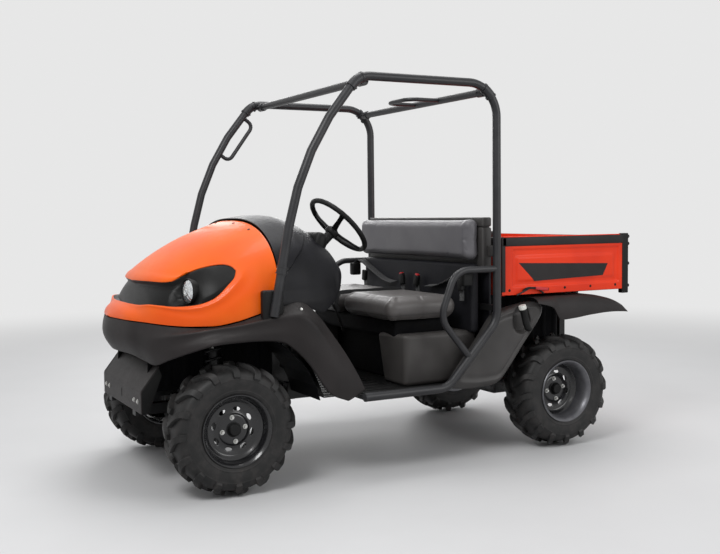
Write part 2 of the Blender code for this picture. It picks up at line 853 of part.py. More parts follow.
def build_headlamps():
    """Round housings set through the hood; each stands out of it on the lens's outer side."""
    for side, name in ((1, "left"), (-1, "right")):
        aim = Vector((side * lamp_aim_shares[0], lamp_aim_shares[1], lamp_aim_shares[2])).normalized()
        lens = Vector((side * lamp_x, hood_front_y + lamp_setback, lamp_z))
        back = lens - aim * lamp_depth
        cut(bpy.data.objects["hood"],
            [rod("bore", back - aim * seat_gap, lens + aim * lamp_depth, lamp_radius + seat_gap)])
        lamp = rod("headlamp_" + name, back, lens, lamp_radius, "lamp")
        joined(lamp, [rod("glass", lens - aim * lamp_glass_inset, lens + aim * lamp_glass_rise,
                          lamp_radius - lamp_glass_inset, end_radius=lamp_radius - lamp_glass_inset * 2)])


def section_between(seam, lip, bulge, reach_y=None):
    """A fender section: from the seam out and down to the lip, bulged outwards."""
    chord = lip - seam
    along = chord.normalized()
    outward = Vector((seam.x, min(seam.y - front_axle_y, 0.0), 0.0)).normalized()
    normal = (outward - along * outward.dot(along)).normalized()
    lift = bulge * chord.length
    if reach_y is not None:
        lift = (seam.lerp(lip, 0.5).y - reach_y) / -normal.y
    row = []
    for step in range(fender_steps + 1):
        share = step / fender_steps
        row.append(seam.lerp(lip, share) + normal * lift * math.sin(math.pi * share))
    return row


def build_front_body():
    """Bumper, both fenders and their legs, in one moulding."""
    half = []
    for station in nose_stations():
        seam = Vector((station["half_width"] if station["y"] > hood_front_y else 0.0,
                       station["y"], station["seam_z"] - hood_gap))
        # The bumper's belly is the foremost point of the whole vehicle
        reach_y = front_end_y if not half else None
        half.append(section_between(seam, station["lip"], station["bulge"], reach_y))
    for seam_x, seam_y, seam_z, lip_x, lip_y, lip_z, bulge in leg_shares:
        seam = Vector((seam_x * fender_half_width, hood_rear_y + seam_y, hood_base_z + seam_z * fender_drop))
        lip = Vector((lip_x * fender_half_width, hood_rear_y + lip_y, hood_base_z + lip_z * fender_drop))
        half.append(section_between(seam, lip, bulge))
    other = [[Vector((-point.x, point.y, point.z)) for point in row] for row in half[:0:-1]]
    body = shell("front_body", other + half, body_wall, "charcoal")
    holes = []
    for side in (-1, 1):
        foot = Vector((side * hoop_x, hoop_foot_y, hoop_foot_z))
        knee = Vector((side * hoop_x, hoop_knee_y, hoop_knee_z))
        along = (knee - foot).normalized()
        holes.append(rod("hole", foot - along * overrun, foot + along * overrun * 6,
                         tube_radius + seat_gap * 2, segments=24))
    cut(body, holes)


def build_liners():
    steps = round((liner_high_deg - liner_low_deg) / liner_step_deg)
    path = []
    for step in range(steps + 1):
        angle = math.radians(liner_low_deg + (liner_high_deg - liner_low_deg) * step / steps)
        path.append((front_axle_y + liner_radius * math.cos(angle), axle_z + liner_radius * math.sin(angle)))
    left = side_plate("arch_liner_left", ribbon(path[::-1], body_wall), liner_inner_x, liner_outer_x, "black")
    low = Vector((kingpin_low_x, front_axle_y, kingpin_low_z))
    high = Vector((kingpin_high_x, front_axle_y, kingpin_high_z))
    cut(left, [rod("hole", low, high, liner_hole_radius)])
    mirrored(left, "arch_liner_right", "black")


# Columns: y share of the length, half-width share, bottom share and crown share of the height
cowl_shares = (
    (0.000, 1.000, 0.000, 0.965),
    (0.330, 0.985, -0.030, 1.000),
    (0.600, 0.950, -0.100, 0.930),
    (0.780, 0.900, -0.020, 0.840),
    (0.930, 0.840, 0.120, 0.700),
    (1.000, 0.780, 0.260, 0.520),
)


def wheel_axis():
    tilt = math.radians(wheel_tilt_deg)
    return Vector((0.0, math.sin(tilt), math.cos(tilt)))


def build_cowl():
    rows = [arch(hood_rear_y + hood_gap + y * cowl_length, width * cowl_half_width,
                 cowl_base_z + low * cowl_height, cowl_base_z + crown * cowl_height,
                 hood_squareness, cowl_steps)
            for y, width, low, crown in cowl_shares]
    # The dash closes the rear end
    last = rows[-1]
    middle_z = cowl_base_z + cowl_shares[-1][2] * cowl_height
    rows.append([(x * 0.5, y + body_wall, middle_z + (z - middle_z) * 0.5) for x, y, z in last])
    rows.append([(0.0, y + body_wall, middle_z) for x, y, z in last])
    cowl = shell("cowl", rows, body_wall, "charcoal")
    centre = Vector((wheel_centre_x, wheel_centre_y, wheel_centre_z))
    cut(cowl, [rod("hole", centre, centre - wheel_axis() * column_length,
                   column_radius + seat_gap, segments=24)])
    # A stay on each side, coped to the hoop's front leg
    leg_share = (cowl_stay_z - hoop_foot_z) / (hoop_knee_z - hoop_foot_z)
    leg_y = hoop_foot_y + leg_share * (hoop_knee_y - hoop_foot_y)
    stays = [rod("stay", (side * cowl_stay_inner_x, cowl_stay_inner_y, cowl_stay_z),
                 (side * hoop_x, leg_y, cowl_stay_z), cowl_stay_radius) for side in (-1, 1)]
    joined(cowl, stays)
    cope = tube("cope", bent_path(hoop_corners()), tube_radius + seat_gap)
    cut(cowl, [mirrored(cope, "other_cope", "tube"), cope])


def build_steering():
    centre = Vector((wheel_centre_x, wheel_centre_y, wheel_centre_z))
    axis = wheel_axis()
    turn = axis.to_track_quat("Z", "Y").to_matrix().to_4x4()
    place = Matrix.Translation(centre) @ turn
    bpy.ops.mesh.primitive_torus_add(major_radius=wheel_ring_radius, minor_radius=wheel_grip_radius,
                                     major_segments=wheel_ring_steps, minor_segments=6)
    ring = bpy.context.object
    form = bmesh.new()
    form.from_mesh(ring.data)
    bpy.data.objects.remove(ring, do_unlink=True)
    bmesh.ops.transform(form, matrix=place, verts=form.verts)
    wheel = piece_from("steering_wheel", form, "black")
    hub = centre - axis * wheel_dish
    tools = [rod("hub", hub - axis * wheel_hub_length / 2, hub + axis * wheel_hub_length / 2,
                 wheel_hub_radius, segments=14)]
    for spoke_deg in (90.0, 205.0, 335.0):
        angle = math.radians(spoke_deg)
        outer = place @ Vector((wheel_ring_radius * math.cos(angle), wheel_ring_radius * math.sin(angle), 0.0))
        tools.append(rod("spoke", hub, outer, wheel_spoke_radius, segments=8))
    joined(wheel, tools)
    smooth(wheel)
    top = hub - axis * (wheel_hub_length / 2 + seat_gap)
    rod("steering_column", top, top - axis * column_length, column_radius, "black")


# Cab


def build_floor():
    path = [(floor_rear_y, sill_z + floor_wall), (floor_front_y, sill_z + floor_wall), (toe_top_y, toe_top_z)]
    floor = side_plate("floor_pan", ribbon(path, floor_wall), -floor_half_width, floor_half_width, "charcoal")
    steps = []
    for side in (-1, 1):
        low_x, high_x = sorted((side * (floor_half_width - overrun), side * (floor_half_width + step_width)))
        steps.append(box("step", (low_x, sill_front_y + overrun / 2, sill_z + floor_wall * 0.2),
                         (high_x, quarter_front_y - moving_gap, sill_z + floor_wall * 0.8)))
    joined(floor, steps)


def build_seat():
    low_z = sill_z + floor_wall + seat_gap
    base = side_plate("seat_base", [
        (seat_base_front_y, low_z),
        (seat_base_rear_y, low_z),
        (seat_base_rear_y, seat_base_top_z),
        (seat_base_front_y - seat_base_lean, seat_base_top_z),
        (seat_base_front_y, seat_base_top_z - seat_base_lean * 3)],
        -seat_base_half, seat_base_half, "charcoal")
    pan = box("pan", (-seat_base_half + seat_pan_inset, cushion_front_y + seat_pan_inset,
                      seat_base_top_z - overrun),
              (seat_base_half - seat_pan_inset, cushion_rear_y, cushion_bottom_z - seat_gap))
    joined(base, [pan])
    rounded(base, seat_base_corner / 3)
    for name, side in (("cushion_driver", 1), ("cushion_passenger", -1)):
        low_x, high_x = sorted((side * cushion_split, side * (cushion_split + cushion_width)))
        cushion = box(name, (low_x, cushion_front_y, cushion_bottom_z),
                      (high_x, cushion_rear_y, cushion_bottom_z + cushion_thickness), "vinyl")
        smooth(rounded(cushion, cushion_round, 3))
    back = box("seat_back", (-back_half_width, back_front_y, back_bottom_z),
               (back_half_width, back_front_y + back_thickness, back_bottom_z + back_height), "vinyl")
    smooth(rounded(back, back_round, 3))
    panel_y = back_front_y + back_thickness + seat_gap
    panel = box("back_panel", (-back_panel_half, panel_y, back_panel_bottom_z),
                (back_panel_half, panel_y + back_panel_thickness, back_bottom_z + back_height), "vinyl")
    reach = hoop_x - tube_radius - seat_gap
    tab = box("tab", (-reach, pillar_y - back_tab_height / 4, back_panel_bottom_z + back_tab_height),
              (reach, pillar_y + back_tab_height / 4, back_panel_bottom_z + back_tab_height * 2))
    joined(panel, [tab])


# Rear body

# Columns: y share of the length and z share of the height, going round
quarter_shares = (
    (0.46, 0.86), (0.52, 0.877), (0.94, 1.00), (1.00, 0.85), (0.78, 0.475),
    (0.51, 0.03), (0.355, 0.00), (0.00, 0.036), (0.15, 0.307),
)
# Columns: y share of the length, top share and lip share of the depth below the top
flare_shares = (
    (0.000, 0.00, 0.22), (0.160, 0.00, 0.42), (0.250, 0.00, 0.96), (0.400, 0.00, 0.92),
    (0.580, 0.00, 0.83), (0.810, 0.18, 0.77), (0.963, 0.47, 0.80), (1.000, 0.70, 0.82),
)


def build_quarters():
    outline = [Vector((quarter_front_y + y * quarter_length, quarter_bottom_z + z * quarter_height))
               for y, z in quarter_shares]
    centre = sum(outline, Vector((0.0, 0.0))) / len(outline)
    rings = []
    for depth_share, size_share in ((0.0, 1.0), (0.65, 0.96), (1.0, quarter_inset_share), (1.0, 0.0)):
        x = quarter_inner_x + depth_share * quarter_depth
        ring = [centre + (point - centre) * size_share for point in outline]
        rings.append([(x, point.x, point.y) for point in ring + ring[:1]])
    left = shell("quarter_left", rings, body_wall, "charcoal")
    # Tab against the floor's edge
    joined(left, [box("tab", (floor_half_width + seat_gap, quarter_tab_y - quarter_tab_width / 2,
                              quarter_bottom_z + body_wall * 2),
                      (quarter_inner_x + quarter_depth / 3, quarter_tab_y + quarter_tab_width / 2,
                       sill_z + floor_wall * 2))])
    right = mirrored(left, "quarter_right", "charcoal")
    smooth(right)
    # Fuel filler neck and cap, beside the driver's side panel
    x = quarter_inner_x + quarter_depth + seat_gap + filler_radius * math.cos(math.pi / rod_segments)
    low = Vector((x, filler_y + filler_lean, filler_z))
    high = Vector((x, filler_y, filler_z + filler_length))
    filler = rod("fuel_filler", low, high, filler_radius, "black")
    along = (high - low).normalized()
    joined(filler, [rod("cap", high - along * filler_cap_length / 2, high + along * filler_cap_length / 2,
                        filler_cap_radius)])


def build_flares():
    rows = []
    for y, top, lip in flare_shares:
        station_y = flare_front_y + y * flare_length
        top_z = flare_top_z - top * flare_depth
        lip_z = flare_top_z - lip * flare_depth
        shoulder = flare_outer_x - flare_depth * 0.18
        rows.append([(flare_inner_x, station_y, top_z), (shoulder, station_y, top_z),
                     (flare_outer_x - flare_depth * 0.03, station_y, top_z + (lip_z - top_z) * 0.25),
                     (flare_outer_x, station_y, lip_z)])
    left = shell("flare_left", rows, body_wall, "charcoal")
    smooth(mirrored(left, "flare_right", "charcoal"))


# Bed


def build_bed():
    floor_top = bed_floor_bottom_z + bed_floor_wall
    bed = box("cargo_bed", (-bed_half_width, bed_front_y, bed_floor_bottom_z),
              (bed_half_width, bed_floor_rear_y, floor_top), "bed_red")
    lap = bed_floor_wall / 2
    tools = [box("front", (-bed_half_width, bed_front_y, floor_top - lap),
                 (bed_half_width, bed_front_y + bed_wall, bed_top_z))]
    post_rear = bed_post_front_y + bed_post_depth
    for side in (-1, 1):
        low_x, high_x = sorted((side * (bed_half_width - bed_wall), side * bed_half_width))
        tools.append(box("side", (low_x, bed_front_y + lap, floor_top - lap),
                         (high_x, bed_post_front_y + lap, bed_top_z)))
        low_x, high_x = sorted((side * (bed_half_width - bed_post_width), side * bed_half_width))
        tools.append(box("post", (low_x, bed_post_front_y, bed_floor_bottom_z),
                         (high_x, post_rear, bed_top_z + lap / 3)))
        # Latch pins on the post's rear face, and the tailgate's hinge pin
        for z_share in (0.06, 0.46, 0.82, 0.95):
            z = bed_floor_bottom_z + z_share * (bed_top_z - bed_floor_bottom_z)
            x = side * (bed_half_width - bed_post_width / 2)
            tools.append(rod("latch", (x, post_rear - lap, z), (x, rear_end_y, z), latch_pin_radius, segments=8))
        tools.append(rod("pin", (side * (bed_half_width - lap), gate_pivot_y, gate_pivot_z),
                         (side * (bed_half_width - bed_post_width - gate_ear_width), gate_pivot_y, gate_pivot_z),
                         gate_pin_radius, segments=12))
        # Rib that rests on the frame's upper rail, and the hinge ear behind it
        x = side * bed_rib_x
        tools.append(box("rib", (x - upper_rail_width / 2, bed_front_y + bed_wall,
                                 upper_rail_top_z + seat_gap),
                         (x + upper_rail_width / 2, rail_rear_y - overrun * 2, floor_top - lap)))
        ear_x = side * (upper_rail_x + upper_rail_width / 2 + moving_gap)
        ear_far = ear_x + side * bed_ear_width
        low_x, high_x = sorted((ear_x, ear_far))
        ear = box("ear", (low_x, bed_pivot_y - bed_ear_radius * 0.9, bed_pivot_z),
                  (high_x, bed_pivot_y + bed_ear_radius * 0.9, floor_top - lap))
        joined(ear, [rod("eye", (low_x, bed_pivot_y, bed_pivot_z), (high_x, bed_pivot_y, bed_pivot_z),
                         bed_ear_radius)])
        cut(ear, [eye_hole(low_x, high_x, bed_pivot_y, bed_pivot_z, bed_pin_radius, 12)])
        tools.append(ear)
    joined(bed, tools)


def build_tailgate():
    half = bed_half_width - bed_post_width - moving_gap
    gate = box("tailgate", (-half, bed_post_front_y, gate_bottom_z),
               (half, bed_post_front_y + gate_thickness, gate_top_z), "bed_red")
    tools = []
    for side in (-1, 1):
        low_x, high_x = sorted((side * (half - moving_gap), side * (half - gate_ear_width * 1.5)))
        ear = box("ear", (low_x, gate_pivot_y - gate_ear_radius * 0.8, gate_pivot_z),
                  (high_x, gate_pivot_y + gate_ear_radius * 0.8, gate_bottom_z + gate_ear_radius))
        joined(ear, [rod("eye", (low_x, gate_pivot_y, gate_pivot_z), (high_x, gate_pivot_y, gate_pivot_z),
                         gate_ear_radius)])
        cut(ear, [eye_hole(low_x, high_x, gate_pivot_y, gate_pivot_z, gate_pin_radius, 12)])
        tools.append(ear)
    joined(gate, tools)


# Running gear


def kingpin_at(z, side=1):
    """The point of the steering axis at a height."""
    share = (z - kingpin_low_z) / (kingpin_high_z - kingpin_low_z)
    x = kingpin_low_x + share * (kingpin_high_x - kingpin_low_x)
    return Vector((side * x, front_axle_y, z))


def build_front_corner():
    axis_x = kingpin_at(axle_z).x
    lean = math.atan2(kingpin_low_x - kingpin_high_x, kingpin_high_z - kingpin_low_z)
    strut_top_z = kingpin_high_z - shock_rod_radius * math.sin(lean)
    disc_inner = track_half + tyre_bead_width / 2 + rim_wall - front_disc_depth - disc_wall
    knuckle = rod("knuckle_left", kingpin_at(knuckle_low_z), kingpin_at(spring_low_z), strut_radius)
    tools = [
        rod("boss", kingpin_at(axle_z - knuckle_radius * 1.2), kingpin_at(axle_z + knuckle_radius * 1.2),
            knuckle_radius * 1.3),
        rod("spindle", (axis_x, front_axle_y, axle_z), (disc_inner - seat_gap, front_axle_y, axle_z),
            spindle_radius),
        rod("hub", (disc_inner - spindle_radius, front_axle_y, axle_z),
            (disc_inner - seat_gap, front_axle_y, axle_z), hub_flange_radius),
        rod("spring", kingpin_at(spring_low_z - strut_radius), kingpin_at(spring_high_z), spring_radius),
        rod("rod", kingpin_at(spring_high_z - strut_radius), kingpin_at(strut_top_z), shock_rod_radius),
    ]
    arm = kingpin_at(steer_arm_z)
    tools.append(box("arm", (arm.x - steer_arm_size, arm.y, steer_arm_z - steer_arm_size / 2),
                     (arm.x + steer_arm_size, arm.y + steer_arm_length, steer_arm_z + steer_arm_size / 2)))
    joined(knuckle, tools)
    smooth(knuckle)
    mirrored(knuckle, "knuckle_right", "steel")
    # Lower arm: two legs from the rail to the ball joint
    ball = kingpin_at(kingpin_low_z)
    legs = []
    pivot_top = rail_top_z - rail_height - seat_gap
    for spread in (-lower_arm_spread, lower_arm_spread):
        pivot = Vector((lower_arm_x, front_axle_y + spread, lower_arm_z))
        legs.append(rod("leg", pivot, ball, lower_arm_radius))
        # A pivot block under the rail
        legs.append(box("pivot", (rail_x - rail_width / 4, pivot.y - lower_arm_radius * 1.4,
                                  pivot.z - lower_arm_radius * 1.2),
                        (lower_arm_x + lower_arm_radius * 0.5, pivot.y + lower_arm_radius * 1.4, pivot_top)))
    arm_piece = rod("lower_arm_left", kingpin_at(kingpin_low_z - lower_arm_radius * 1.3),
                    kingpin_at(kingpin_low_z + lower_arm_radius * 1.2), ball_radius * 2.1, segments=14)
    stud = rod("stud", ball, kingpin_at(knuckle_low_z - seat_gap), ball_radius)
    joined(arm_piece, [stud] + legs)
    smooth(arm_piece)
    mirrored(arm_piece, "lower_arm_right", "steel")
    # Drive shaft with a boot at its outer end
    boot_x = axis_x - knuckle_radius * 1.3 - moving_gap * 1.5
    shaft = rod("front_shaft_left", (diff_half_width + seat_gap, front_axle_y, axle_z),
                (boot_x, front_axle_y, axle_z), shaft_radius)
    joined(shaft, [rod("boot", (boot_x - shaft_boot_radius * 1.6, front_axle_y, axle_z),
                       (boot_x, front_axle_y, axle_z), shaft_radius * 1.2, end_radius=shaft_boot_radius)])
    smooth(shaft)
    mirrored(shaft, "front_shaft_right", "steel")


def build_front_drive():
    rail_low = rail_top_z - rail_height
    diff = box("front_diff", (-diff_half_width, front_axle_y - diff_length / 2, axle_z - diff_height / 2),
               (diff_half_width, front_axle_y + diff_length / 2, axle_z + diff_height / 2), "black")
    rounded(diff, diff_height / 8)
    inner_x = rail_x - rail_width / 2 - seat_gap
    joined(diff, [box("mount", (-inner_x, front_axle_y - cross_depth / 2, rail_low + rail_height * 0.2),
                      (inner_x, front_axle_y + cross_depth / 2, rail_top_z - rail_height * 0.4))])
    rack_y = front_axle_y + steer_arm_length
    rack = rod("steering_rack", (-rack_end_x, rack_y, rack_z), (rack_end_x, rack_y, rack_z), rack_radius)
    smooth(rack)


def build_rear_drive():
    low_z = axle_z - transaxle_height * 0.35
    axle = box("rear_axle", (-transaxle_half_width, rear_axle_y - transaxle_length / 2, low_z),
               (transaxle_half_width, rear_axle_y + transaxle_length / 2, low_z + transaxle_height), "black")
    rounded(axle, transaxle_height / 10)
    disc_inner = track_half + tyre_bead_width / 2 + rim_wall - rear_disc_depth - disc_wall - seat_gap
    tools = [rod("tube", (-disc_inner, rear_axle_y, axle_z), (disc_inner, rear_axle_y, axle_z), axle_radius)]
    for side in (-1, 1):
        tools.append(rod("drum", (side * (disc_inner - axle_drum_length), rear_axle_y, axle_z),
                         (side * disc_inner, rear_axle_y, axle_z), axle_drum_radius, segments=20))
        tools.append(rod("arm", (side * arm_x, rear_axle_y, axle_z),
                         (side * arm_x, arm_pivot_y, rail_top_z - rail_height / 2), arm_radius, segments=12))
        tools.append(rod("pivot", (side * (rail_x + rail_width / 2 + seat_gap), arm_pivot_y,
                                   rail_top_z - rail_height / 2),
                         (side * (arm_x + arm_radius * 1.5), arm_pivot_y, rail_top_z - rail_height / 2),
                         arm_radius * 1.1, segments=12))
    joined(axle, tools)
    smooth(axle)
    high_z = upper_rail_top_z - upper_rail_height + rail_height * 0.1 - seat_gap
    low = Vector((shock_x, shock_low_y, shock_low_z))
    high = Vector((shock_x, shock_high_y, high_z))
    lean = math.atan2(shock_high_y - shock_low_y, high_z - shock_low_z)
    high.z -= shock_rod_radius * math.sin(lean)
    shock = rod("shock_left", high, low.lerp(high, 0.62), shock_rod_radius)
    joined(shock, [rod("coil", low.lerp(high, 0.12), low.lerp(high, 0.80), shock_radius),
                   rod("foot", low.lerp(high, 0.2), low, shock_rod_radius)])
    smooth(shock)
    mirrored(shock, "shock_right", "steel")
    engine_low = rail_top_z + seat_gap
    engine = box("engine", (-engine_half_width, engine_front_y, engine_low + overrun),
                 (engine_half_width, engine_front_y + engine_length, engine_low + engine_height), "black")
    rounded(engine, engine_height / 20)
    joined(engine, [box("feet", (-rail_x, engine_front_y + engine_length * 0.4, engine_low),
                        (rail_x, engine_front_y + engine_length * 0.7, engine_low + overrun * 1.5))])
    muffler = rod("muffler", (-muffler_half_length, muffler_y, muffler_z),
                  (muffler_half_length, muffler_y, muffler_z), muffler_radius, segments=20)
    under = upper_rail_top_z - upper_rail_height + rail_height * 0.1 - seat_gap
    joined(muffler, [box("strap", (-cross_depth, muffler_y - cross_depth / 3, muffler_z),
                         (cross_depth, muffler_y + cross_depth / 3, under))])
    smooth(muffler)


def build_front_plate():
    outline = [(plate_y, plate_low_z), (plate_y, plate_high_z), (plate_slope_top_y, plate_slope_top_z)]
    plate = side_plate("front_plate", ribbon(outline, plate_wall), -plate_half_width, plate_half_width, "charcoal")
    slot_mid = (plate_low_z + plate_high_z) / 2
    cut(plate, [box("slot", (-plate_slot_half, plate_y - overrun, slot_mid - plate_slot_height / 2),
                    (plate_slot_half, plate_y + overrun, slot_mid + plate_slot_height / 2))])


build_wheels()
build_hood()
build_headlamps()
build_frame()
build_hoops()
build_cross_bars()
build_front_body()
build_liners()
build_cowl()
build_steering()
build_floor()
build_seat()
build_quarters()
build_flares()
build_bed()
build_tailgate()
build_front_corner()
build_front_drive()
build_rear_drive()
build_front_plate()
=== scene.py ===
import math

import bmesh
import bpy
import numpy as np
from mathutils import Matrix, Vector


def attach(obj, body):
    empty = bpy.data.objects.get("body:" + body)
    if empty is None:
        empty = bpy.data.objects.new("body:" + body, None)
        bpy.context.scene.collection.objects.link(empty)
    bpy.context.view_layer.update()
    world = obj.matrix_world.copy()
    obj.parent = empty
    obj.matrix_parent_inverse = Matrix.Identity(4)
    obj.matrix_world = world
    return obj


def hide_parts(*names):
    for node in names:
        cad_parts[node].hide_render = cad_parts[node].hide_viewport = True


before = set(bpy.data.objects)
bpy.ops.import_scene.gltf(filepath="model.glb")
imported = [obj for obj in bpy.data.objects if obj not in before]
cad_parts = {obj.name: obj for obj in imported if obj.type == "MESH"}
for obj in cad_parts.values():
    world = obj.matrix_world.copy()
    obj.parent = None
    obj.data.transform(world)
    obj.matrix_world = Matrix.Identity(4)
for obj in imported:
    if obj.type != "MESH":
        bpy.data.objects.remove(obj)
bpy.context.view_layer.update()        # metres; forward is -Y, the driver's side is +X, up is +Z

print("frame loaded")


# Shapes: whole arrays of points; a grid is (points, wraps down, wraps across)

def unit(v):
    # the vector divided by its length
    return v / np.maximum(np.linalg.norm(v, axis=-1, keepdims=True), 1e-12)


def soft(x, low, high):
    # rises smoothly from 0 at low to 1 at high
    t = np.clip((x - low) / (high - low), 0.0, 1.0)
    return t * t * (3.0 - 2.0 * t)


def bell(x, middle, spread):
    # a bell curve: 1 at middle, and near 0 past two spreads
    return np.exp(-((x - middle) / spread) ** 2)


def through(xs, ys, x):
    # cubic through the points (xs, ys) that doesn't overshoot: each slope is the harmonic mean of its neighbours
    xs, ys, x = np.asarray(xs, float), np.asarray(ys, float), np.asarray(x, float)
    secant = np.diff(ys) / np.diff(xs)
    same = secant[:-1] * secant[1:] > 0
    inner = np.where(same, 2 * secant[:-1] * secant[1:] / np.where(same, secant[:-1] + secant[1:], 1.0), 0.0)
    slope = np.concatenate([secant[:1], inner, secant[-1:]])
    i = np.clip(np.searchsorted(xs, x) - 1, 0, len(xs) - 2)
    h = xs[i + 1] - xs[i]
    t = np.clip((x - xs[i]) / h, 0.0, 1.0)
    return ((1 + 2 * t) * (1 - t) ** 2 * ys[i] + t * (1 - t) ** 2 * h * slope[i]
            + t * t * (3 - 2 * t) * ys[i + 1] + t * t * (t - 1) * h * slope[i + 1])


def between(rows, steps):
    # a smooth curve through the rows: each new row is a cubic blend of the four rows around it
    rows = np.asarray(rows, float)
    ends = np.concatenate([2 * rows[:1] - rows[1:2], rows, 2 * rows[-1:] - rows[-2:-1]])
    a, b, c, d = (ends[i:len(ends) - 3 + i][:, None] for i in range(4))
    t = (np.arange(steps) / steps).reshape((1, steps) + (1,) * (rows.ndim - 1))
    made = 0.5 * (2 * b + (c - a) * t + (2 * a - 5 * b + 4 * c - d) * t ** 2 + (3 * b - a - 3 * c + d) * t ** 3)
    return np.concatenate([made.reshape((-1,) + rows.shape[1:]), rows[-1:]])


def spaced(path, count):
    # the same line with its points an equal length apart
    path = np.asarray(path, float)
    length = np.concatenate([[0.0], np.cumsum(np.linalg.norm(np.diff(path, axis=0), axis=1))])
    at = np.linspace(0.0, length[-1], count)
    return np.stack([np.interp(at, length, path[:, k]) for k in range(path.shape[1])], -1)


def bentPath(corners, stepDeg=6.0):
    # straight runs joined by arcs: each corner is (point, bend radius)
    corners = [(np.asarray(point, float), bend) for point, bend in corners]
    path = [corners[0][0][None]]
    for (before, _), (corner, bend), (after, _) in zip(corners, corners[1:], corners[2:]):
        back, on = unit(before - corner), unit(after - corner)
        turn = math.pi - math.acos(np.clip(back @ on, -1.0, 1.0))
        if bend == 0.0 or turn < 0.01:
            path.append(corner[None])
            continue
        middle = unit(back + on)
        centre = corner + middle * bend / math.cos(turn / 2)
        aside = unit(on - middle * (on @ middle)) * bend
        angle = np.linspace(-turn / 2, turn / 2, max(3, int(math.degrees(turn) / stepDeg)))[:, None]
        path.append(centre - middle * bend * np.cos(angle) + aside * np.sin(angle))
    path.append(corners[-1][0][None])
    return np.concatenate(path)


def circle(radius, count=20):
    # points at equal angles, radius times cosine and sine
    angle = np.arange(count) * 2 * math.pi / count
    return np.stack([radius * np.cos(angle), radius * np.sin(angle)], -1)


def roundedRect(width, height, radius, steps=4):
    # corner centres plus a quarter turn about each
    angle = (np.arange(4)[:, None] * 90 + np.linspace(0, 90, steps + 1)[None]) * math.pi / 180
    turn = np.stack([np.cos(angle), np.sin(angle)], -1)
    core = np.array([[1, 1], [-1, 1], [-1, -1], [1, -1]], float) * [width / 2 - radius, height / 2 - radius]
    return (core[:, None] + radius * turn).reshape(-1, 2)


def sweep(path, profile, up=(0, 0, 1), size=None, closed=False):
    # each point is the path's point plus the profile, laid off to its side and its upper side
    path = np.asarray(path, float)
    up = np.broadcast_to(np.asarray(up, float), path.shape)
    if closed:
        along = unit(np.roll(path, -1, 0) - np.roll(path, 1, 0))
    else:
        along = unit(np.gradient(path, axis=0))
    side = unit(np.cross(along, up))
    lift = np.cross(side, along)
    size = np.ones(len(path)) if size is None else np.asarray(size, float)
    scaled = profile[None] * size[:, None, None]
    grid = path[:, None] + side[:, None] * scaled[..., :1] + lift[:, None] * scaled[..., 1:]
    if not closed:
        pole = np.ones((1, len(profile), 1))
        grid = np.concatenate([path[:1, None] * pole, grid, path[-1:, None] * pole])
    return grid, closed, True


def tube(path, radius, up=(0, 0, 1), count=20):
    # a circle carried along the path
    return sweep(path, circle(radius, count), up)


def turned(profile, origin, axis, count=48, closed=False):
    # the profile (radius, offset along the axis) turned about the axis
    profile, axis = np.asarray(profile, float), unit(np.asarray(axis, float))
    first = unit(np.cross(axis, [0.31, 0.22, 0.93] if abs(axis[2]) < 0.8 else [1.0, 0.1, 0.0]))
    second = np.cross(axis, first)
    angle = (np.arange(count) * 2 * math.pi / count)[:, None, None]
    grid = (np.asarray(origin, float) + profile[None, :, 1:] * axis
            + profile[None, :, :1] * (np.cos(angle) * first + np.sin(angle) * second))
    return grid, True, closed


def bar(start, end, radius, count=24, edge=0.0012):
    # a round bar with small chamfers, turned about its own line
    start, end = np.asarray(start, float), np.asarray(end, float)
    length = np.linalg.norm(end - start)
    return turned([(0, 0), (radius - edge, 0), (radius, edge), (radius, length - edge),
                   (radius - edge, length), (0, length)], start, end - start, count)


def block(low, high, radius=0.006, steps=4):
    # a box whose edges are quarter turns: each ring is a rounded rectangle, drawn in near both ends
    low, high = np.asarray(low, float), np.asarray(high, float)
    middle, half = (low + high) / 2, (high - low) / 2
    radius = min(radius, half.min() * 0.98)
    angle = (np.arange(4)[:, None] * 90 + np.linspace(0, 90, steps + 1)[None]).ravel() * math.pi / 180
    turn = np.stack([np.cos(angle), np.sin(angle)], -1)
    core = np.repeat(np.array([[1, 1], [-1, 1], [-1, -1], [1, -1]], float), steps + 1, 0) * (half[:2] - radius)
    rise = np.linspace(0, math.pi / 2, steps + 1)
    reach = np.concatenate([radius * np.sin(rise), radius * np.cos(rise)])
    height = np.concatenate([-half[2] + radius - radius * np.cos(rise), half[2] - radius + radius * np.sin(rise)])
    flat = core[None] + turn[None] * reach[:, None, None]
    grid = np.concatenate([flat, np.broadcast_to(height[:, None, None], flat.shape[:2] + (1,))], -1)
    grid = np.concatenate([grid[:1] * [0, 0, 1], grid, grid[-1:] * [0, 0, 1]])
    return grid + middle, False, True


def placed(grid, about, turnDeg, axis):
    # the grid turned about a point
    turn = np.array(Matrix.Rotation(math.radians(turnDeg), 3, Vector(axis)))
    points, down, across = grid
    return (points - about) @ turn.T + about, down, across


def mirroredGrid(grid):
    # the same grid on the other side: x changes its sign
    points, down, across = grid
    return points * [-1, 1, 1], down, across


def bothSides(grids):
    # the grids, then their mirror images
    return list(grids) + [mirroredGrid(grid) for grid in grids]


def bolt(at, axis, radius=0.007, height=0.006):
    # a washer, then a six-sided head with a slightly domed top
    at, axis = np.asarray(at, float), unit(np.asarray(axis, float))
    washer = turned([(0, 0), (radius * 1.5, 0), (radius * 1.5, height * 0.22), (0, height * 0.22)], at, axis, 20)
    head = turned([(0, height * 0.2), (radius, height * 0.2), (radius, height * 0.85), (radius * 0.86, height),
                   (0, height * 1.04)], at, axis, 6)
    return [washer, head]


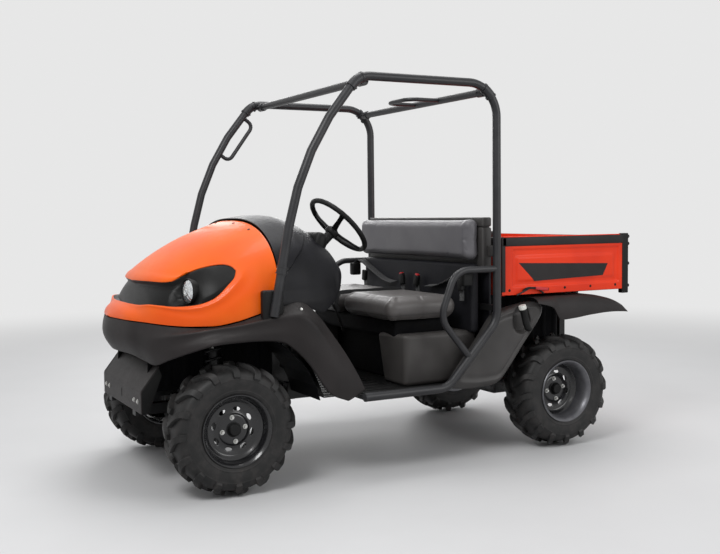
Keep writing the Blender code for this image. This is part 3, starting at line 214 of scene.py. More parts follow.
def coil(start, end, radius, wire, turns, count=12):
    # a helix of constant radius whose two end turns lie flat
    start, end = np.asarray(start, float), np.asarray(end, float)
    axis = unit(end - start)
    first = unit(np.cross(axis, [0.0, 1.0, 0.2]))
    second = np.cross(axis, first)
    t = np.linspace(0, 1, int(turns * 28))
    lift = through([0, 0.07, 0.93, 1], [0, 0.03, 0.97, 1], t)[:, None] * np.linalg.norm(end - start)
    angle = (t * turns * 2 * math.pi)[:, None]
    out = np.cos(angle) * first + np.sin(angle) * second
    return sweep(start + axis * lift + out * radius, circle(wire, count), up=axis)


def meshFrom(name, grids, inside=None, weld=0.00002):
    # every grid's cells become faces; doubles are merged, so that a collapsed row is a pole
    points, faces, start = [], [], 0
    for grid, down, across in grids:
        rows, columns = grid.shape[:2]
        index = start + np.arange(rows * columns).reshape(rows, columns)
        index = np.concatenate([index, index[:1]]) if down else index
        index = np.concatenate([index, index[:, :1]], 1) if across else index
        faces.append(np.stack([index[:-1, :-1], index[1:, :-1], index[1:, 1:], index[:-1, 1:]], -1).reshape(-1, 4))
        points.append(grid.reshape(-1, 3))
        start += rows * columns
    mesh = bpy.data.meshes.new(name)
    mesh.from_pydata(np.concatenate(points).tolist(), [], np.concatenate(faces).tolist())
    form = bmesh.new()
    form.from_mesh(mesh)
    bmesh.ops.remove_doubles(form, verts=form.verts, dist=weld)
    bmesh.ops.recalc_face_normals(form, faces=form.faces)
    form.to_mesh(mesh)
    form.free()
    if inside is not None:
        centres, facing = np.zeros(len(mesh.polygons) * 3), np.zeros(len(mesh.polygons) * 3)
        mesh.polygons.foreach_get("center", centres)
        mesh.polygons.foreach_get("normal", facing)
        if ((centres.reshape(-1, 3) - inside) * facing.reshape(-1, 3)).sum() < 0:
            mesh.flip_normals()
    return mesh


def show(name, grids, finish, body, replaces=(), inside=None, wall=0.0, edge=0.0, sharpDeg=38.0):
    # one finished piece: its mesh, its wall and edge if it is a shell, its finish and what it rides on
    mesh = meshFrom(name, grids, inside)
    mesh.shade_smooth()
    mesh.set_sharp_from_angle(angle=math.radians(sharpDeg))
    item = bpy.data.objects.new(name, mesh)
    bpy.context.scene.collection.objects.link(item)
    mesh.materials.append(finish)
    if wall:
        solid = item.modifiers.new("wall", "SOLIDIFY")
        solid.thickness, solid.offset = wall, -1.0
    if edge:
        bevel = item.modifiers.new("edge", "BEVEL")
        bevel.width, bevel.segments, bevel.limit_method = edge, 2, "ANGLE"
        bevel.angle_limit = math.radians(50.0)
    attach(item, body)
    if replaces:
        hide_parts(*replaces)


# Finishes: expressions on sockets add their own Math nodes

def feed(tree, entry, value):
    # a signal is linked to the socket; a number or colour is set on it
    if isinstance(value, Signal):
        tree.links.new(value.socket, entry)
    else:
        entry.default_value = value


class Signal:
    # one output socket; an expression on it adds its Math nodes
    def __init__(self, tree, socket):
        self.tree, self.socket = tree, socket

    def math(self, operation, *others, first=None):
        # one Math node on this socket and the others
        node = self.tree.nodes.new("ShaderNodeMath")
        node.operation = operation
        values = (self, *others) if first is None else (first, self, *others)
        for entry, value in zip(node.inputs, values):
            feed(self.tree, entry, value)
        return Signal(self.tree, node.outputs[0])

    def __add__(self, other):
        return self.math("ADD", other)

    def __sub__(self, other):
        return self.math("SUBTRACT", other)

    def __mul__(self, other):
        return self.math("MULTIPLY", other)

    def __truediv__(self, other):
        return self.math("DIVIDE", other)

    def __pow__(self, other):
        return self.math("POWER", other)

    def __rsub__(self, other):
        return self.math("SUBTRACT", first=other)

    def __rtruediv__(self, other):
        return self.math("DIVIDE", first=other)

    def __abs__(self):
        return self.math("ABSOLUTE")

    __radd__ = __add__
    __rmul__ = __mul__

    def rise(self, low, high):
        # 0 below low, 1 above high, smooth between
        t = ((self - low) / (high - low)).math("MAXIMUM", 0.0).math("MINIMUM", 1.0)
        return t * t * (3.0 - 2.0 * t)

    def near(self, middle, half):
        # 1 at middle, falling to 0 a half-width away
        return 1.0 - abs(self - middle).rise(0.0, half)


class Finish:
    # one material: its shader, its Object coordinates and the nodes that the finishes share
    def __init__(self, name, colour, roughness, metallic=0.0, **shader):
        self.material = bpy.data.materials.new(name)
        self.material.use_nodes = True
        self.tree = self.material.node_tree
        self.shader = self.tree.nodes["Principled BSDF"]
        self.material.diffuse_color = (*colour, 1.0)
        self.set("Base Color", (*colour, 1.0))
        self.set("Roughness", roughness)
        self.set("Metallic", metallic)
        for key, value in shader.items():
            self.set(key.replace("_", " "), value)
        self.place = self.node("TexCoord", output=3)

    def set(self, entry, value):
        # a value or a signal for one of the shader's sockets
        feed(self.tree, self.shader.inputs[entry], value)

    def node(self, kind, settings=None, entries=None, output=0):
        # any node: its settings first, then its sockets
        node = self.tree.nodes.new("ShaderNode" + kind)
        for key, value in (settings or {}).items():
            setattr(node, key, value)
        for key, value in (entries or {}).items():
            feed(self.tree, node.inputs[key], value)
        return Signal(self.tree, node.outputs[output])

    def axes(self):
        # the place on the object as x, y and z
        return [self.node("SeparateXYZ", entries={0: self.place}, output=k) for k in range(3)]

    def facing(self):
        # how far the surface faces up
        return self.node("SeparateXYZ", entries={0: self.node("NewGeometry", output=1)}, output=2)

    def noise(self, size, detail=3.0, rough=0.55):
        # cloudy noise whose patches are about size metres
        return self.node("TexNoise", entries={"Vector": self.place, "Scale": 1.0 / size, "Detail": detail,
                                              "Roughness": rough})

    def cells(self, size, feature="F1"):
        # cells about size metres across
        return self.node("TexVoronoi", {"feature": feature}, {"Vector": self.place, "Scale": 1.0 / size})

    def blend(self, share, a, b):
        # colour a at share 0, b at share 1
        colours = [value if isinstance(value, Signal) else (*value, 1.0) for value in (a, b)]
        return self.node("Mix", {"data_type": "RGBA"}, {0: share, 6: colours[0], 7: colours[1]}, output=2)

    def bump(self, height, depth, strength):
        # a normal from a height signal, depth metres deep
        return self.node("Bump", entries={"Height": height, "Distance": depth, "Strength": strength})


finishes = {
    # orange and bedRed: pale is the painted sky highlight on the faces that look up
    "orange": {"colour": (0.78, 0.120, 0.003), "pale": (0.80, 0.130, 0.020), "deep": (0.74, 0.085, 0.003)},
    "bedRed": {"colour": (0.76, 0.040, 0.006), "pale": (0.78, 0.052, 0.012), "deep": (0.64, 0.028, 0.005)},
    "charcoal": {"colour": (0.019, 0.016, 0.016), "pale": (0.040, 0.036, 0.034), "deep": (0.012, 0.010, 0.010)},
    "quarter": {"colour": (0.052, 0.049, 0.048), "pale": (0.090, 0.086, 0.083), "deep": (0.036, 0.034, 0.033)},
    "cowl": {"colour": (0.006, 0.006, 0.008), "pale": (0.020, 0.019, 0.025), "deep": (0.004, 0.004, 0.005)},
    "tube": {"colour": (0.024, 0.024, 0.026), "pale": (0.055, 0.055, 0.058), "deep": (0.016, 0.016, 0.018)},
    "black": {"colour": (0.006, 0.006, 0.006), "pale": (0.018, 0.018, 0.018), "deep": (0.004, 0.004, 0.004)},
    # near-black, darker than the black plastics: painted shade for the wheel arches and the space under the seats
    "shadeBlack": {"colour": (0.003, 0.003, 0.004), "pale": (0.008, 0.008, 0.008), "deep": (0.002, 0.002, 0.002)},
    # lowerBack: a dark moulding, made darker still: painted shade under the seat back
    "lowerBack": {"colour": (0.012, 0.012, 0.015), "pale": (0.024, 0.024, 0.028), "deep": (0.008, 0.008, 0.010)},
    # backVinyl and seatVinyl: pale is the painted light on the faces that look up
    "backVinyl": {"colour": (0.120, 0.116, 0.124), "pale": (0.150, 0.146, 0.155), "deep": (0.095, 0.092, 0.100)},
    "seatVinyl": {"colour": (0.078, 0.072, 0.070), "pale": (0.125, 0.118, 0.116), "deep": (0.058, 0.053, 0.051)},
    "seatBase": {"colour": (0.050, 0.047, 0.045), "pale": (0.090, 0.085, 0.082), "deep": (0.034, 0.031, 0.030)},
    "rubber": {"colour": (0.013, 0.012, 0.012), "pale": (0.048, 0.043, 0.040), "deep": (0.006, 0.006, 0.006)},
    "rim": {"colour": (0.010, 0.010, 0.011), "pale": (0.040, 0.040, 0.043), "deep": (0.006, 0.006, 0.007)},
    # rimBarrel: the rim paint copied paler and metallic for the rear barrels, a painted reflection
    "rimBarrel": {"colour": (0.17, 0.17, 0.18), "pale": (0.26, 0.26, 0.27), "deep": (0.10, 0.10, 0.11)},
    "frame": {"colour": (0.012, 0.012, 0.013), "pale": (0.036, 0.034, 0.032), "deep": (0.007, 0.007, 0.007)},
    "zinc": {"colour": (0.50, 0.50, 0.48), "pale": (0.62, 0.62, 0.60), "deep": (0.32, 0.31, 0.29)},
    "cast": {"colour": (0.060, 0.060, 0.062), "pale": (0.12, 0.12, 0.12), "deep": (0.035, 0.035, 0.035)},
}


def moulded(name, grain=0.0011, depth=0.00022, roughness=0.56, dust=0.35, shine=0.26):
    # moulded plastic: a fine pebble grain, broad mottling and a little dust on what faces up
    tone = finishes[name]
    made = Finish(name, tone["colour"], roughness, Specular_IOR_Level=shine)
    broad, fine = made.noise(0.22, 2.0), made.noise(0.018, 4.0)
    pebble = made.cells(grain)
    dusty = made.facing().rise(0.25, 0.95) * made.noise(0.06, 5.0, 0.7).rise(0.38, 0.72) * dust
    shade = made.blend(broad.rise(0.32, 0.68), tone["deep"], tone["colour"])
    made.set("Base Color", made.blend(dusty, shade, tone["pale"]))
    made.set("Roughness", roughness - 0.07 + fine * 0.14 + dusty * 0.12)
    made.set("Normal", made.bump(pebble + fine * 0.35, depth, 0.55))
    return made.material


def glossy(name, roughness=0.36, coat=0.12, peel=0.00030):
    # smooth glossy moulding: slow waviness, a faint peel, finer scuffs in the gloss, and painted sky light that makes
    # the faces that look up paler
    tone = finishes[name]
    made = Finish(name, tone["colour"], roughness, Coat_Weight=coat, Coat_Roughness=0.10, Specular_IOR_Level=0.20)
    broad, peelNoise, scuff = made.noise(0.30, 2.0), made.noise(0.0065, 2.0), made.noise(0.05, 6.0, 0.75)
    # painted light: the more a face looks up, the more its colour goes to pale, standing in for the sky's reflection
    up = made.facing().rise(0.1, 0.95)
    shade = made.blend(broad.rise(0.3, 0.7), tone["deep"], tone["colour"])
    made.set("Base Color", made.blend(up * 0.35, shade, tone["pale"]))
    made.set("Roughness", roughness - 0.05 + scuff * 0.16)
    made.set("Normal", made.bump(peelNoise, peel, 0.35))
    return made.material


def painted(name, roughness=0.40, metallic=0.0, chip=0.5, **shader):
    # powder coat over metal: a tight orange peel, duller patches and a few pale rubs
    tone = finishes[name]
    made = Finish(name, tone["colour"], roughness, metallic, Specular_IOR_Level=0.34, **shader)
    peel, patch, rub = made.noise(0.0022, 2.0), made.noise(0.09, 3.0), made.noise(0.012, 8.0, 0.8)
    worn = rub.rise(0.64, 0.78) * patch.rise(0.45, 0.65) * chip
    shade = made.blend(patch.rise(0.3, 0.7), tone["deep"], tone["colour"])
    made.set("Base Color", made.blend(worn, shade, tone["pale"]))
    made.set("Roughness", roughness - 0.06 + patch * 0.12 + worn * 0.15)
    made.set("Normal", made.bump(peel + rub * 0.2, 0.00018, 0.5))
    return made.material


def upholstery(name, seamZ, stitch=0.006):
    # coated fabric: a leathery cell grain, soft creases, a stitched seam round the side, and painted light that makes
    # the upward faces paler
    tone = finishes[name]
    made = Finish(name, tone["colour"], 0.42, Specular_IOR_Level=0.42)
    x, y, z = made.axes()
    cell, crease = made.cells(0.0016, "DISTANCE_TO_EDGE"), made.noise(0.045, 5.0, 0.65)
    broad = made.noise(0.26, 2.0)
    seam = z.near(seamZ, 0.0022)
    thread = (x + y).math("MODULO", stitch).near(stitch * 0.5, stitch * 0.38) * z.near(seamZ + 0.006, 0.0013)
    shade = made.blend(broad.rise(0.3, 0.7), tone["deep"], tone["colour"])
    # painted light: faces that look up go towards pale, as if lit from above
    shade = made.blend(made.facing().rise(0.3, 1.0) * 0.35, shade, tone["pale"])
    made.set("Base Color", made.blend(seam * 0.75, shade, (0.012, 0.011, 0.011)))
    made.set("Roughness", 0.34 + crease * 0.16 + seam * 0.2)
    height = cell.rise(0.0, 0.35) * 0.22 + crease * 0.9 - seam * 3.0 + thread * 1.2
    made.set("Normal", made.bump(height, 0.0007, 0.55))
    return made.material


def rubberFinish():
    # tyre rubber: fine skin, dry pale dust low down and in the grooves, faint rings on the sidewall
    tone = finishes["rubber"]
    made = Finish("rubber", tone["colour"], 0.62, Specular_IOR_Level=0.36)
    skin, patch, smear = made.noise(0.0035, 5.0, 0.7), made.noise(0.05, 4.0), made.noise(0.012, 6.0, 0.7)
    z = made.axes()[2]
    dusty = (0.25 + z.rise(0.30, 0.0) * 0.55) * patch.rise(0.42, 0.70) * smear.rise(0.35, 0.75)
    shade = made.blend(patch.rise(0.35, 0.65), tone["deep"], tone["colour"])
    made.set("Base Color", made.blend(dusty, shade, tone["pale"]))
    made.set("Roughness", 0.46 + skin * 0.16 + dusty * 0.3)
    made.set("Normal", made.bump(skin + smear * 0.5, 0.0005, 0.5))
    return made.material


def metal(name, roughness, grainSize=0.004, stain=0.5):
    # bare or plated metal: streaked gloss with duller stains
    tone = finishes[name]
    made = Finish(name, tone["colour"], roughness, 0.9)
    grain, patch = made.noise(grainSize, 6.0, 0.7), made.noise(0.03, 4.0)
    stained = patch.rise(0.5, 0.75) * stain
    shade = made.blend(grain.rise(0.3, 0.7), tone["colour"], tone["pale"])
    made.set("Base Color", made.blend(stained, shade, tone["deep"]))
    made.set("Roughness", roughness + grain * 0.15 + stained * 0.2)
    made.set("Normal", made.bump(grain, 0.0002, 0.5))
    return made.material


def reflectorFinish():
    # lamp reflector behind its lens: bright fluted rings
    made = Finish("lampSilver", (0.72, 0.74, 0.76), 0.14, 0.85, Coat_Weight=1.0, Coat_Roughness=0.02)
    x, _, z = made.axes()
    flutes = (z * 260.0).math("SINE") * (x * 260.0).math("SINE")
    clear = made.noise(0.01, 3.0)
    made.set("Base Color", made.blend(clear.rise(0.35, 0.65), (0.52, 0.54, 0.56), (0.82, 0.84, 0.86)))
    made.set("Roughness", 0.10 + clear * 0.12)
    made.set("Normal", made.bump(flutes, 0.0012, 0.6))
    return made.material


def webFinish(name, colour):
    # woven webbing: fine crossing ribs
    made = Finish(name, colour, 0.8, Sheen_Weight=0.2)
    x, y, z = made.axes()
    weave = ((x + z) * 2600.0).math("SINE") * ((y - z) * 2600.0).math("SINE")
    made.set("Base Color", made.blend(weave.rise(-0.6, 0.6), tuple(c * 0.6 for c in colour), colour))
    made.set("Normal", made.bump(weave, 0.0004, 0.7))
    return made.material


def plainPlastic(name, colour, roughness):
    # moulded plastic in one tone, mottled by a fine noise
    made = Finish(name, colour, roughness)
    fine = made.noise(0.004, 4.0)
    made.set("Base Color", made.blend(fine.rise(0.35, 0.65), tuple(c * 0.86 for c in colour), colour))
    made.set("Roughness", roughness - 0.05 + fine * 0.12)
    made.set("Normal", made.bump(fine, 0.0002, 0.4))
    return made.material


look = {
    "orange": glossy("orange"),
    "bedRed": glossy("bedRed", roughness=0.38, coat=0.10),
    "charcoal": moulded("charcoal", roughness=0.50, shine=0.22),
    "quarter": moulded("quarter", roughness=0.44, shine=0.30),
    "cowl": moulded("cowl", roughness=0.44, dust=0.5, shine=0.16),
    "seatBase": moulded("seatBase", roughness=0.50),
    "black": moulded("black", grain=0.0014, roughness=0.50, dust=0.6, shine=0.20),
    "band": moulded("black", grain=0.0016, roughness=0.40, dust=0.25, shine=0.16),
    # near-black painted shade, with grain and a little dust
    "shadeBlack": moulded("shadeBlack", grain=0.0016, roughness=0.70, dust=0.3, shine=0.08),
    "lowerBack": moulded("lowerBack", grain=0.0018, roughness=0.56, dust=0.4, shine=0.18),
    "tube": painted("tube"),
    "frame": painted("frame", roughness=0.46),
    "rim": painted("rim", roughness=0.26, Coat_Weight=0.5, Coat_Roughness=0.12),
    "rimBarrel": painted("rimBarrel", roughness=0.36, metallic=0.6),
    "rubber": rubberFinish(),
    "zinc": metal("zinc", 0.28),
    "cast": metal("cast", 0.48, 0.006),
    "lampSilver": reflectorFinish(),
    "web": webFinish("web", (0.016, 0.016, 0.017)),
    "red": plainPlastic("red", (0.48, 0.010, 0.014), 0.32),
    "white": plainPlastic("white", (0.66, 0.66, 0.62), 0.36),
    "backVinyl": upholstery("backVinyl", 1.043),
    "seatVinyl": upholstery("seatVinyl", 0.764),
}
print("finishes made")


# Tyres and rims

tyreSize = {
    "radius": 0.305, "width": 0.229, "groove": 0.0205, "pitches": 16,
    "lugWide": 0.034, "lugLean": 0.60, "lugFrom": 0.44, "lugTo": 0.985,
    "ringsAt": (0.176, 0.184, 0.238), "ringHeight": 0.0016, "ringWide": 0.0016,
    # radius and distance from the middle, bead to crown
    "profile": [(0.1535, 0.0800), (0.1560, 0.0915), (0.1690, 0.0950), (0.1800, 0.0985), (0.2000, 0.1015),
                (0.2200, 0.1030), (0.2390, 0.1020), (0.2550, 0.0975), (0.2670, 0.0890), (0.2750, 0.0760),
                (0.2800, 0.0590), (0.2830, 0.0390), (0.2842, 0.0180), (0.2845, 0.0)],
}
wheelPlaces = {
    "front_left": (1, -0.970, 0.041), "front_right": (-1, -0.970, 0.041),
    "rear_left": (1, 0.930, -0.009), "rear_right": (-1, 0.930, -0.009),
}
trackHalf, axleZ = 0.540, 0.305


def tyreGrids(side, axleY):
    # the half profile, mirrored and turned, is the carcass; each lug is a section carried in over the shoulder
    half = spaced(between(tyreSize["profile"], 10), 64)
    rings = sum(bell(half[:, 0], r, tyreSize["ringWide"]) for r in tyreSize["ringsAt"])
    half = half + np.stack([0 * rings, rings * tyreSize["ringHeight"]], -1)
    loop = np.concatenate([half, (half * [1, -1])[-2::-1]])
    carcass = turned(loop, (side * trackHalf, axleY, axleZ), (side, 0, 0), 120, closed=True)
    # Lugs: along runs from the sidewall to the middle, across is the lug's own section
    along = np.linspace(0.0, 1.0, 16)
    at = tyreSize["lugFrom"] + (tyreSize["lugTo"] - tyreSize["lugFrom"]) * along
    place = spaced(half, 400)[(at * 399).astype(int)]
    facing = np.gradient(spaced(half, 400), axis=0)[(at * 399).astype(int)]
    facing = unit(np.stack([-facing[:, 1], facing[:, 0]], -1))
    facing = facing * np.sign(facing[:, :1] + facing[:, 1:])
    section = np.array([(-1.12, -0.10), (-0.93, 0.90), (-0.86, 1.0), (-0.50, 0.985), (0.50, 0.985), (0.86, 1.0),
                        (0.93, 0.90), (1.12, -0.10)])
    height = tyreSize["groove"] * (0.42 + 0.58 * soft(along, 0.05, 0.50)) * soft(along, -0.02, 0.05)
    height = height * soft(along, 1.06, 0.97)
    wide = tyreSize["lugWide"] / 2 * (1.0 - 0.22 * soft(along, 0.3, 1.0)) * (1.0 - 0.25 * soft(along, 0.12, 0.0))
    lean = tyreSize["lugLean"] * 2 * math.pi / tyreSize["pitches"] * soft(along, 0.18, 1.0)
    index = np.arange(2 * tyreSize["pitches"])
    hand = np.where(index % 2 == 0, 1.0, -1.0)
    base = index * math.pi / tyreSize["pitches"]
    lift = height[:, None] * section[None, :, 1] - 0.0006
    reach = place[:, None, 0] + facing[:, None, 0] * lift
    aside = place[:, None, 1] + facing[:, None, 1] * lift
    reach = np.minimum(reach, tyreSize["radius"] - 0.0002)
    aside = np.clip(aside, 0.0, tyreSize["width"] / 2 - 0.0004)
    turn = lean[:, None] + wide[:, None] * section[None, :, 0] / np.maximum(reach, 0.2)
    angle = base[:, None, None] + turn[None]
    points = np.stack([side * (trackHalf + hand[:, None, None] * aside[None] + 0 * angle),
                       axleY + reach[None] * np.cos(angle), axleZ + reach[None] * np.sin(angle)], -1)
    middle = points.mean(2, keepdims=True)
    points = np.concatenate([middle[:, :1] + 0 * points[:, :1], points, middle[:, -1:] + 0 * points[:, -1:]], 1)
    return [carcass] + [(lug, False, True) for lug in points]


rimSize = {
    "flange": 0.168, "seat": 0.1515, "half": 0.101, "wall": 0.0055, "discEdge": 0.1465,
    "windows": 8, "windowAt": 0.094, "windowLong": 0.0175, "windowTall": 0.0090, "inner": 0.074, "outer": 0.114,
    "nuts": 4, "nutAt": 0.056, "nutSize": 0.0075, "cap": 0.031, "capLong": 0.030, "disc": 0.006,
}


def discRise(radius, deep):
    # offset of the pressed disc along the axle: hub face raised, dished between, coned out to the barrel
    return (0.006 * soft(radius, 0.078, 0.064) - 0.005 * bell(radius, 0.093, 0.020)
            + (0.022 if deep < 0 else 0.016) * soft(radius, 0.118, 0.1465))


def rimGrids(side, axleY, deep):
    # barrel and disc are profiles turned about the axle; the ring of windows is a grid for each window's sector
    centre, axis = (side * trackHalf, axleY, axleZ), (side, 0, 0)
    f, s, h, w = (rimSize[key] for key in ("flange", "seat", "half", "wall"))
    barrel = [(f, h - 0.003), (f - 0.002, h), (f - 0.006, h), (s + 0.004, h - 0.006), (s - w, h - 0.020),
              (s - w - 0.006, h - 0.045), (s - w - 0.006, -h + 0.045), (s - w, -h + 0.020), (s + 0.004 - w, -h + 0.006),
              (f - 0.006, -h), (f - 0.002, -h), (f, -h + 0.003), (f - 0.002, -h + 0.006), (s, -h + 0.012),
              (s, -h + 0.028), (s - 0.010, -h + 0.045), (s - 0.010, h - 0.045), (s, h - 0.028), (s, h - 0.012),
              (f - 0.002, h - 0.006)]
    barrel = [turned(barrel, centre, axis, 96, closed=True)]
    # Disc between the windows' ring and the barrel, and inside the ring; both faces, joined at the rim
    wall, disc = rimSize["disc"], []
    for low, high, count in ((0.0, rimSize["inner"], 22), (rimSize["outer"], rimSize["discEdge"], 14)):
        radius = np.linspace(low, high, count)
        for under in (0.0, wall):
            disc.append(turned(np.stack([radius, deep + discRise(radius, deep) - under], -1), centre, axis, 96))
    # Each window's sector: rings go from the sector's outline in to the window, through its wall, and out again
    steps = 12
    s = np.arange(4 * steps)
    edge, share = s // steps, (s % steps) / steps * 2 - 1
    square = np.stack([np.choose(edge, [share, 1 + 0 * share, -share, -1 + 0 * share]),
                       np.choose(edge, [-1 + 0 * share, share, 1 + 0 * share, -share])], -1)
    oval = unit(square)
    ring = np.array([(1.0, 0), (0.75, 0), (0.5, 0), (0.25, 0), (0.08, 0), (0.0, 0.0012), (0.0, wall), (0.08, wall),
                     (0.25, wall), (0.5, wall), (0.75, wall), (1.0, wall)])
    middle = (rimSize["inner"] + rimSize["outer"]) / 2
    outerHalf = np.array([math.pi / rimSize["windows"], (rimSize["outer"] - rimSize["inner"]) / 2])
    holeHalf = np.array([rimSize["windowLong"] / rimSize["windowAt"], rimSize["windowTall"]])
    flat = ring[:, None, :1] * square[None] * outerHalf + (1 - ring[:, None, :1]) * oval[None] * holeHalf
    angle = (np.arange(rimSize["windows"]) * 2 * math.pi / rimSize["windows"])[:, None, None] + flat[None, ..., 0]
    radius = middle + flat[None, ..., 1] + 0 * angle
    first = unit(np.cross([side, 0, 0], [0.31, 0.22, 0.93]))
    second = np.cross([side, 0, 0], first)
    offset = deep + discRise(radius, deep) - ring[None, :, None, 1]
    points = (np.array(centre) + offset[..., None] * np.array([side, 0, 0])
              + radius[..., None] * (np.cos(angle)[..., None] * first + np.sin(angle)[..., None] * second))
    disc += [(sector, False, True) for sector in points]
    cap = turned([(0, 0.004), (rimSize["cap"] + 0.004, 0.004), (rimSize["cap"] + 0.004, 0.008), (rimSize["cap"], 0.010),
                  (rimSize["cap"] - 0.002, rimSize["capLong"] - 0.006), (rimSize["cap"] - 0.007, rimSize["capLong"]),
                  (rimSize["cap"] - 0.012, rimSize["capLong"] + 0.001), (0, rimSize["capLong"] - 0.002)],
                 (side * (trackHalf + deep), axleY, axleZ), axis, 40)
    nuts = []
    for k in range(rimSize["nuts"]):
        angle = math.radians(98 + k * 360 / rimSize["nuts"])
        at = (side * (trackHalf + deep + 0.005), axleY + rimSize["nutAt"] * math.cos(angle),
              axleZ + rimSize["nutAt"] * math.sin(angle))
        nuts += bolt(at, axis, rimSize["nutSize"], 0.014)
    return barrel, disc, [cap], nuts


def buildWheels():
    # each wheel's pieces ride on its own body
    for where, (side, axleY, deep) in wheelPlaces.items():
        body = "wheel_" + where
        show("tyreSkin_" + where, tyreGrids(side, axleY), look["rubber"], body, ["tyre_" + where], sharpDeg=26)
        barrel, disc, cap, nuts = rimGrids(side, axleY, deep)
        # the rear barrels take the paler metallic copy of the rim paint, a painted reflection
        barrelLook = look["rimBarrel"] if "rear" in where else look["rim"]
        show("rimBarrel_" + where, barrel, barrelLook, body, ["rim_" + where])
        show("rimDisc_" + where, disc, look["rim"], body, sharpDeg=50)
        show("hubCap_" + where, cap, look["black"], body)
        show("wheelNuts_" + where, nuts, look["zinc"], body, sharpDeg=25)


buildWheels()
print("wheels made")


# Roll-over hoops

hoopSize = {
    "x": 0.660, "radius": 0.0213, "hip": 0.0175, "cross": 0.019, "handle": 0.011,
    "path": [((-0.793, 0.815), 0), ((-0.639, 1.591), 1.360), ((-0.338, 1.924), 0.120), ((0.450, 1.924), 0.165),
             ((0.450, 0.722), 0.140), ((0.1435, 0.399), 0.120), ((-0.330, 0.399), 0)],
    "hipPath": [((0.450, 0.988), 0), ((0.196, 0.988), 0.110), ((0.104, 0.751), 0.110), ((0.281, 0.541), 0)],
    "grabFrom": (-0.562, 1.640), "grabTo": (-0.408, 1.851), "grabOut": 0.085, "grabBend": 0.035,
    "sleeves": [(-0.33, 1.92, -0.03, 0.075), (0.40, 1.90, 0.01, 0.060)],
           # near y, z; shift and length along the hoop
    "sleeve": 0.0248, "foot": 0.215, "footSleeve": 0.0242, "footLong": 0.030,
    "barFront": (-0.300, 1.905), "barRear": (0.392, 1.885), "collar": 0.0235,   # y, z
    "roofLoop": [((-0.010, 0.392, 1.885), 0), ((-0.010, 0.192, 1.885), 0.06), ((0.230, 0.192, 1.885), 0.06),
                 ((0.230, 0.392, 1.885), 0)],
}


def sidePath(corners, x):
    # a bent path in the side plane at x
    return bentPath([((x, y, z), bend) for (y, z), bend in corners])


def partOf(path, low, high, count=12):
    # the stretch of a path between two lengths along it
    fine = spaced(path, 600)
    length = np.linalg.norm(np.diff(fine, axis=0), axis=1).sum()
    at = np.linspace(low, high, count) / length * 599
    return np.stack([np.interp(at, np.arange(600), fine[:, k]) for k in range(3)], -1)


def clampOn(path, middle, long, radius, x):
    # a sleeve with a raised band at each end, and its bolts
    side = 1 if x > 0 else -1
    line = partOf(path, middle - long / 2, middle + long / 2, 14)
    grids = [sweep(line, circle(radius, 28), (1, 0, 0))]
    for share in (0.0, 1.0):
        end = partOf(path, middle + (share - 0.5) * long - 0.004, middle + (share - 0.5) * long + 0.004, 4)
        grids.append(sweep(end, circle(radius + 0.0022, 28), (1, 0, 0)))
    along = unit(line[-1] - line[0])
    under = np.cross(along, [1, 0, 0])
    for k in (3, 10):
        at = line[k] - np.array([side * (radius - 0.001), 0, 0])
        grids += bolt(at, (-side, 0, 0), 0.0058, 0.007)
        grids += bolt(line[k] + under * (radius - 0.001), under, 0.0058, 0.007)
    return grids


def buildHoops():
    # hoops, hip loops and bars are tubes along straight runs and bends; each sleeve follows a stretch of its hoop
    h = hoopSize
    for side, name in ((1, "left"), (-1, "right")):
        x = side * h["x"]
        path, hip = sidePath(h["path"], x), sidePath(h["hipPath"], x)
        grids = [tube(path, h["radius"], (1, 0, 0), 28), tube(hip, h["hip"], (1, 0, 0), 24)]
        if side < 0:
            low, high = np.array([x, *h["grabFrom"]]), np.array([x, *h["grabTo"]])
            along = unit(high - low)
            inward = np.array([0, along[2], -along[1]]) * h["grabOut"]
            grip = bentPath([(low, 0), (low + inward, h["grabBend"]), (high + inward, h["grabBend"]), (high, 0)])
            grids.append(tube(grip, h["handle"], (1, 0, 0), 18))
        show("hoop_tube_" + name, grids, look["tube"], "chassis", ["hoop_" + name])
        lengths = np.linalg.norm(np.diff(path, axis=0), axis=1).cumsum()
        clamps = []
        for y, z, shift, long in h["sleeves"]:
            nearest = lengths[np.argmin(np.abs(path[1:, 1] - y) + np.abs(path[1:, 2] - z))]
            clamps += clampOn(path, nearest + shift, long, h["sleeve"], x)
        clamps += clampOn(path, h["foot"], h["footLong"], h["footSleeve"], x)
        show("hoop_clamps_" + name, clamps, look["tube"], "chassis")
    reach = h["x"] - h["radius"]
    loop = tube(bentPath(h["roofLoop"]), h["handle"], (0, 0, 1), 18)
    for name, (y, z), extra in (("Front", h["barFront"], []), ("Rear", h["barRear"], [loop])):
        grids = [tube([(-reach, y, z), (0, y, z), (reach, y, z)], h["cross"], (0, 0, 1), 28)] + extra
        for side in (-1, 1):
            grids.append(bar((side * (reach - 0.055), y, z), (side * (reach - 0.002), y, z), h["collar"]))
            for k in (0.016, 0.040):
                grids += bolt((side * (reach - k), y - 0.0228, z), (0, -1, 0), 0.0055, 0.006)
        show("crossBar" + name, grids, look["tube"], "chassis", ["roof_cross_" + name.lower()])


buildHoops()
print("hoops made")


# Hood, nose band, lamps

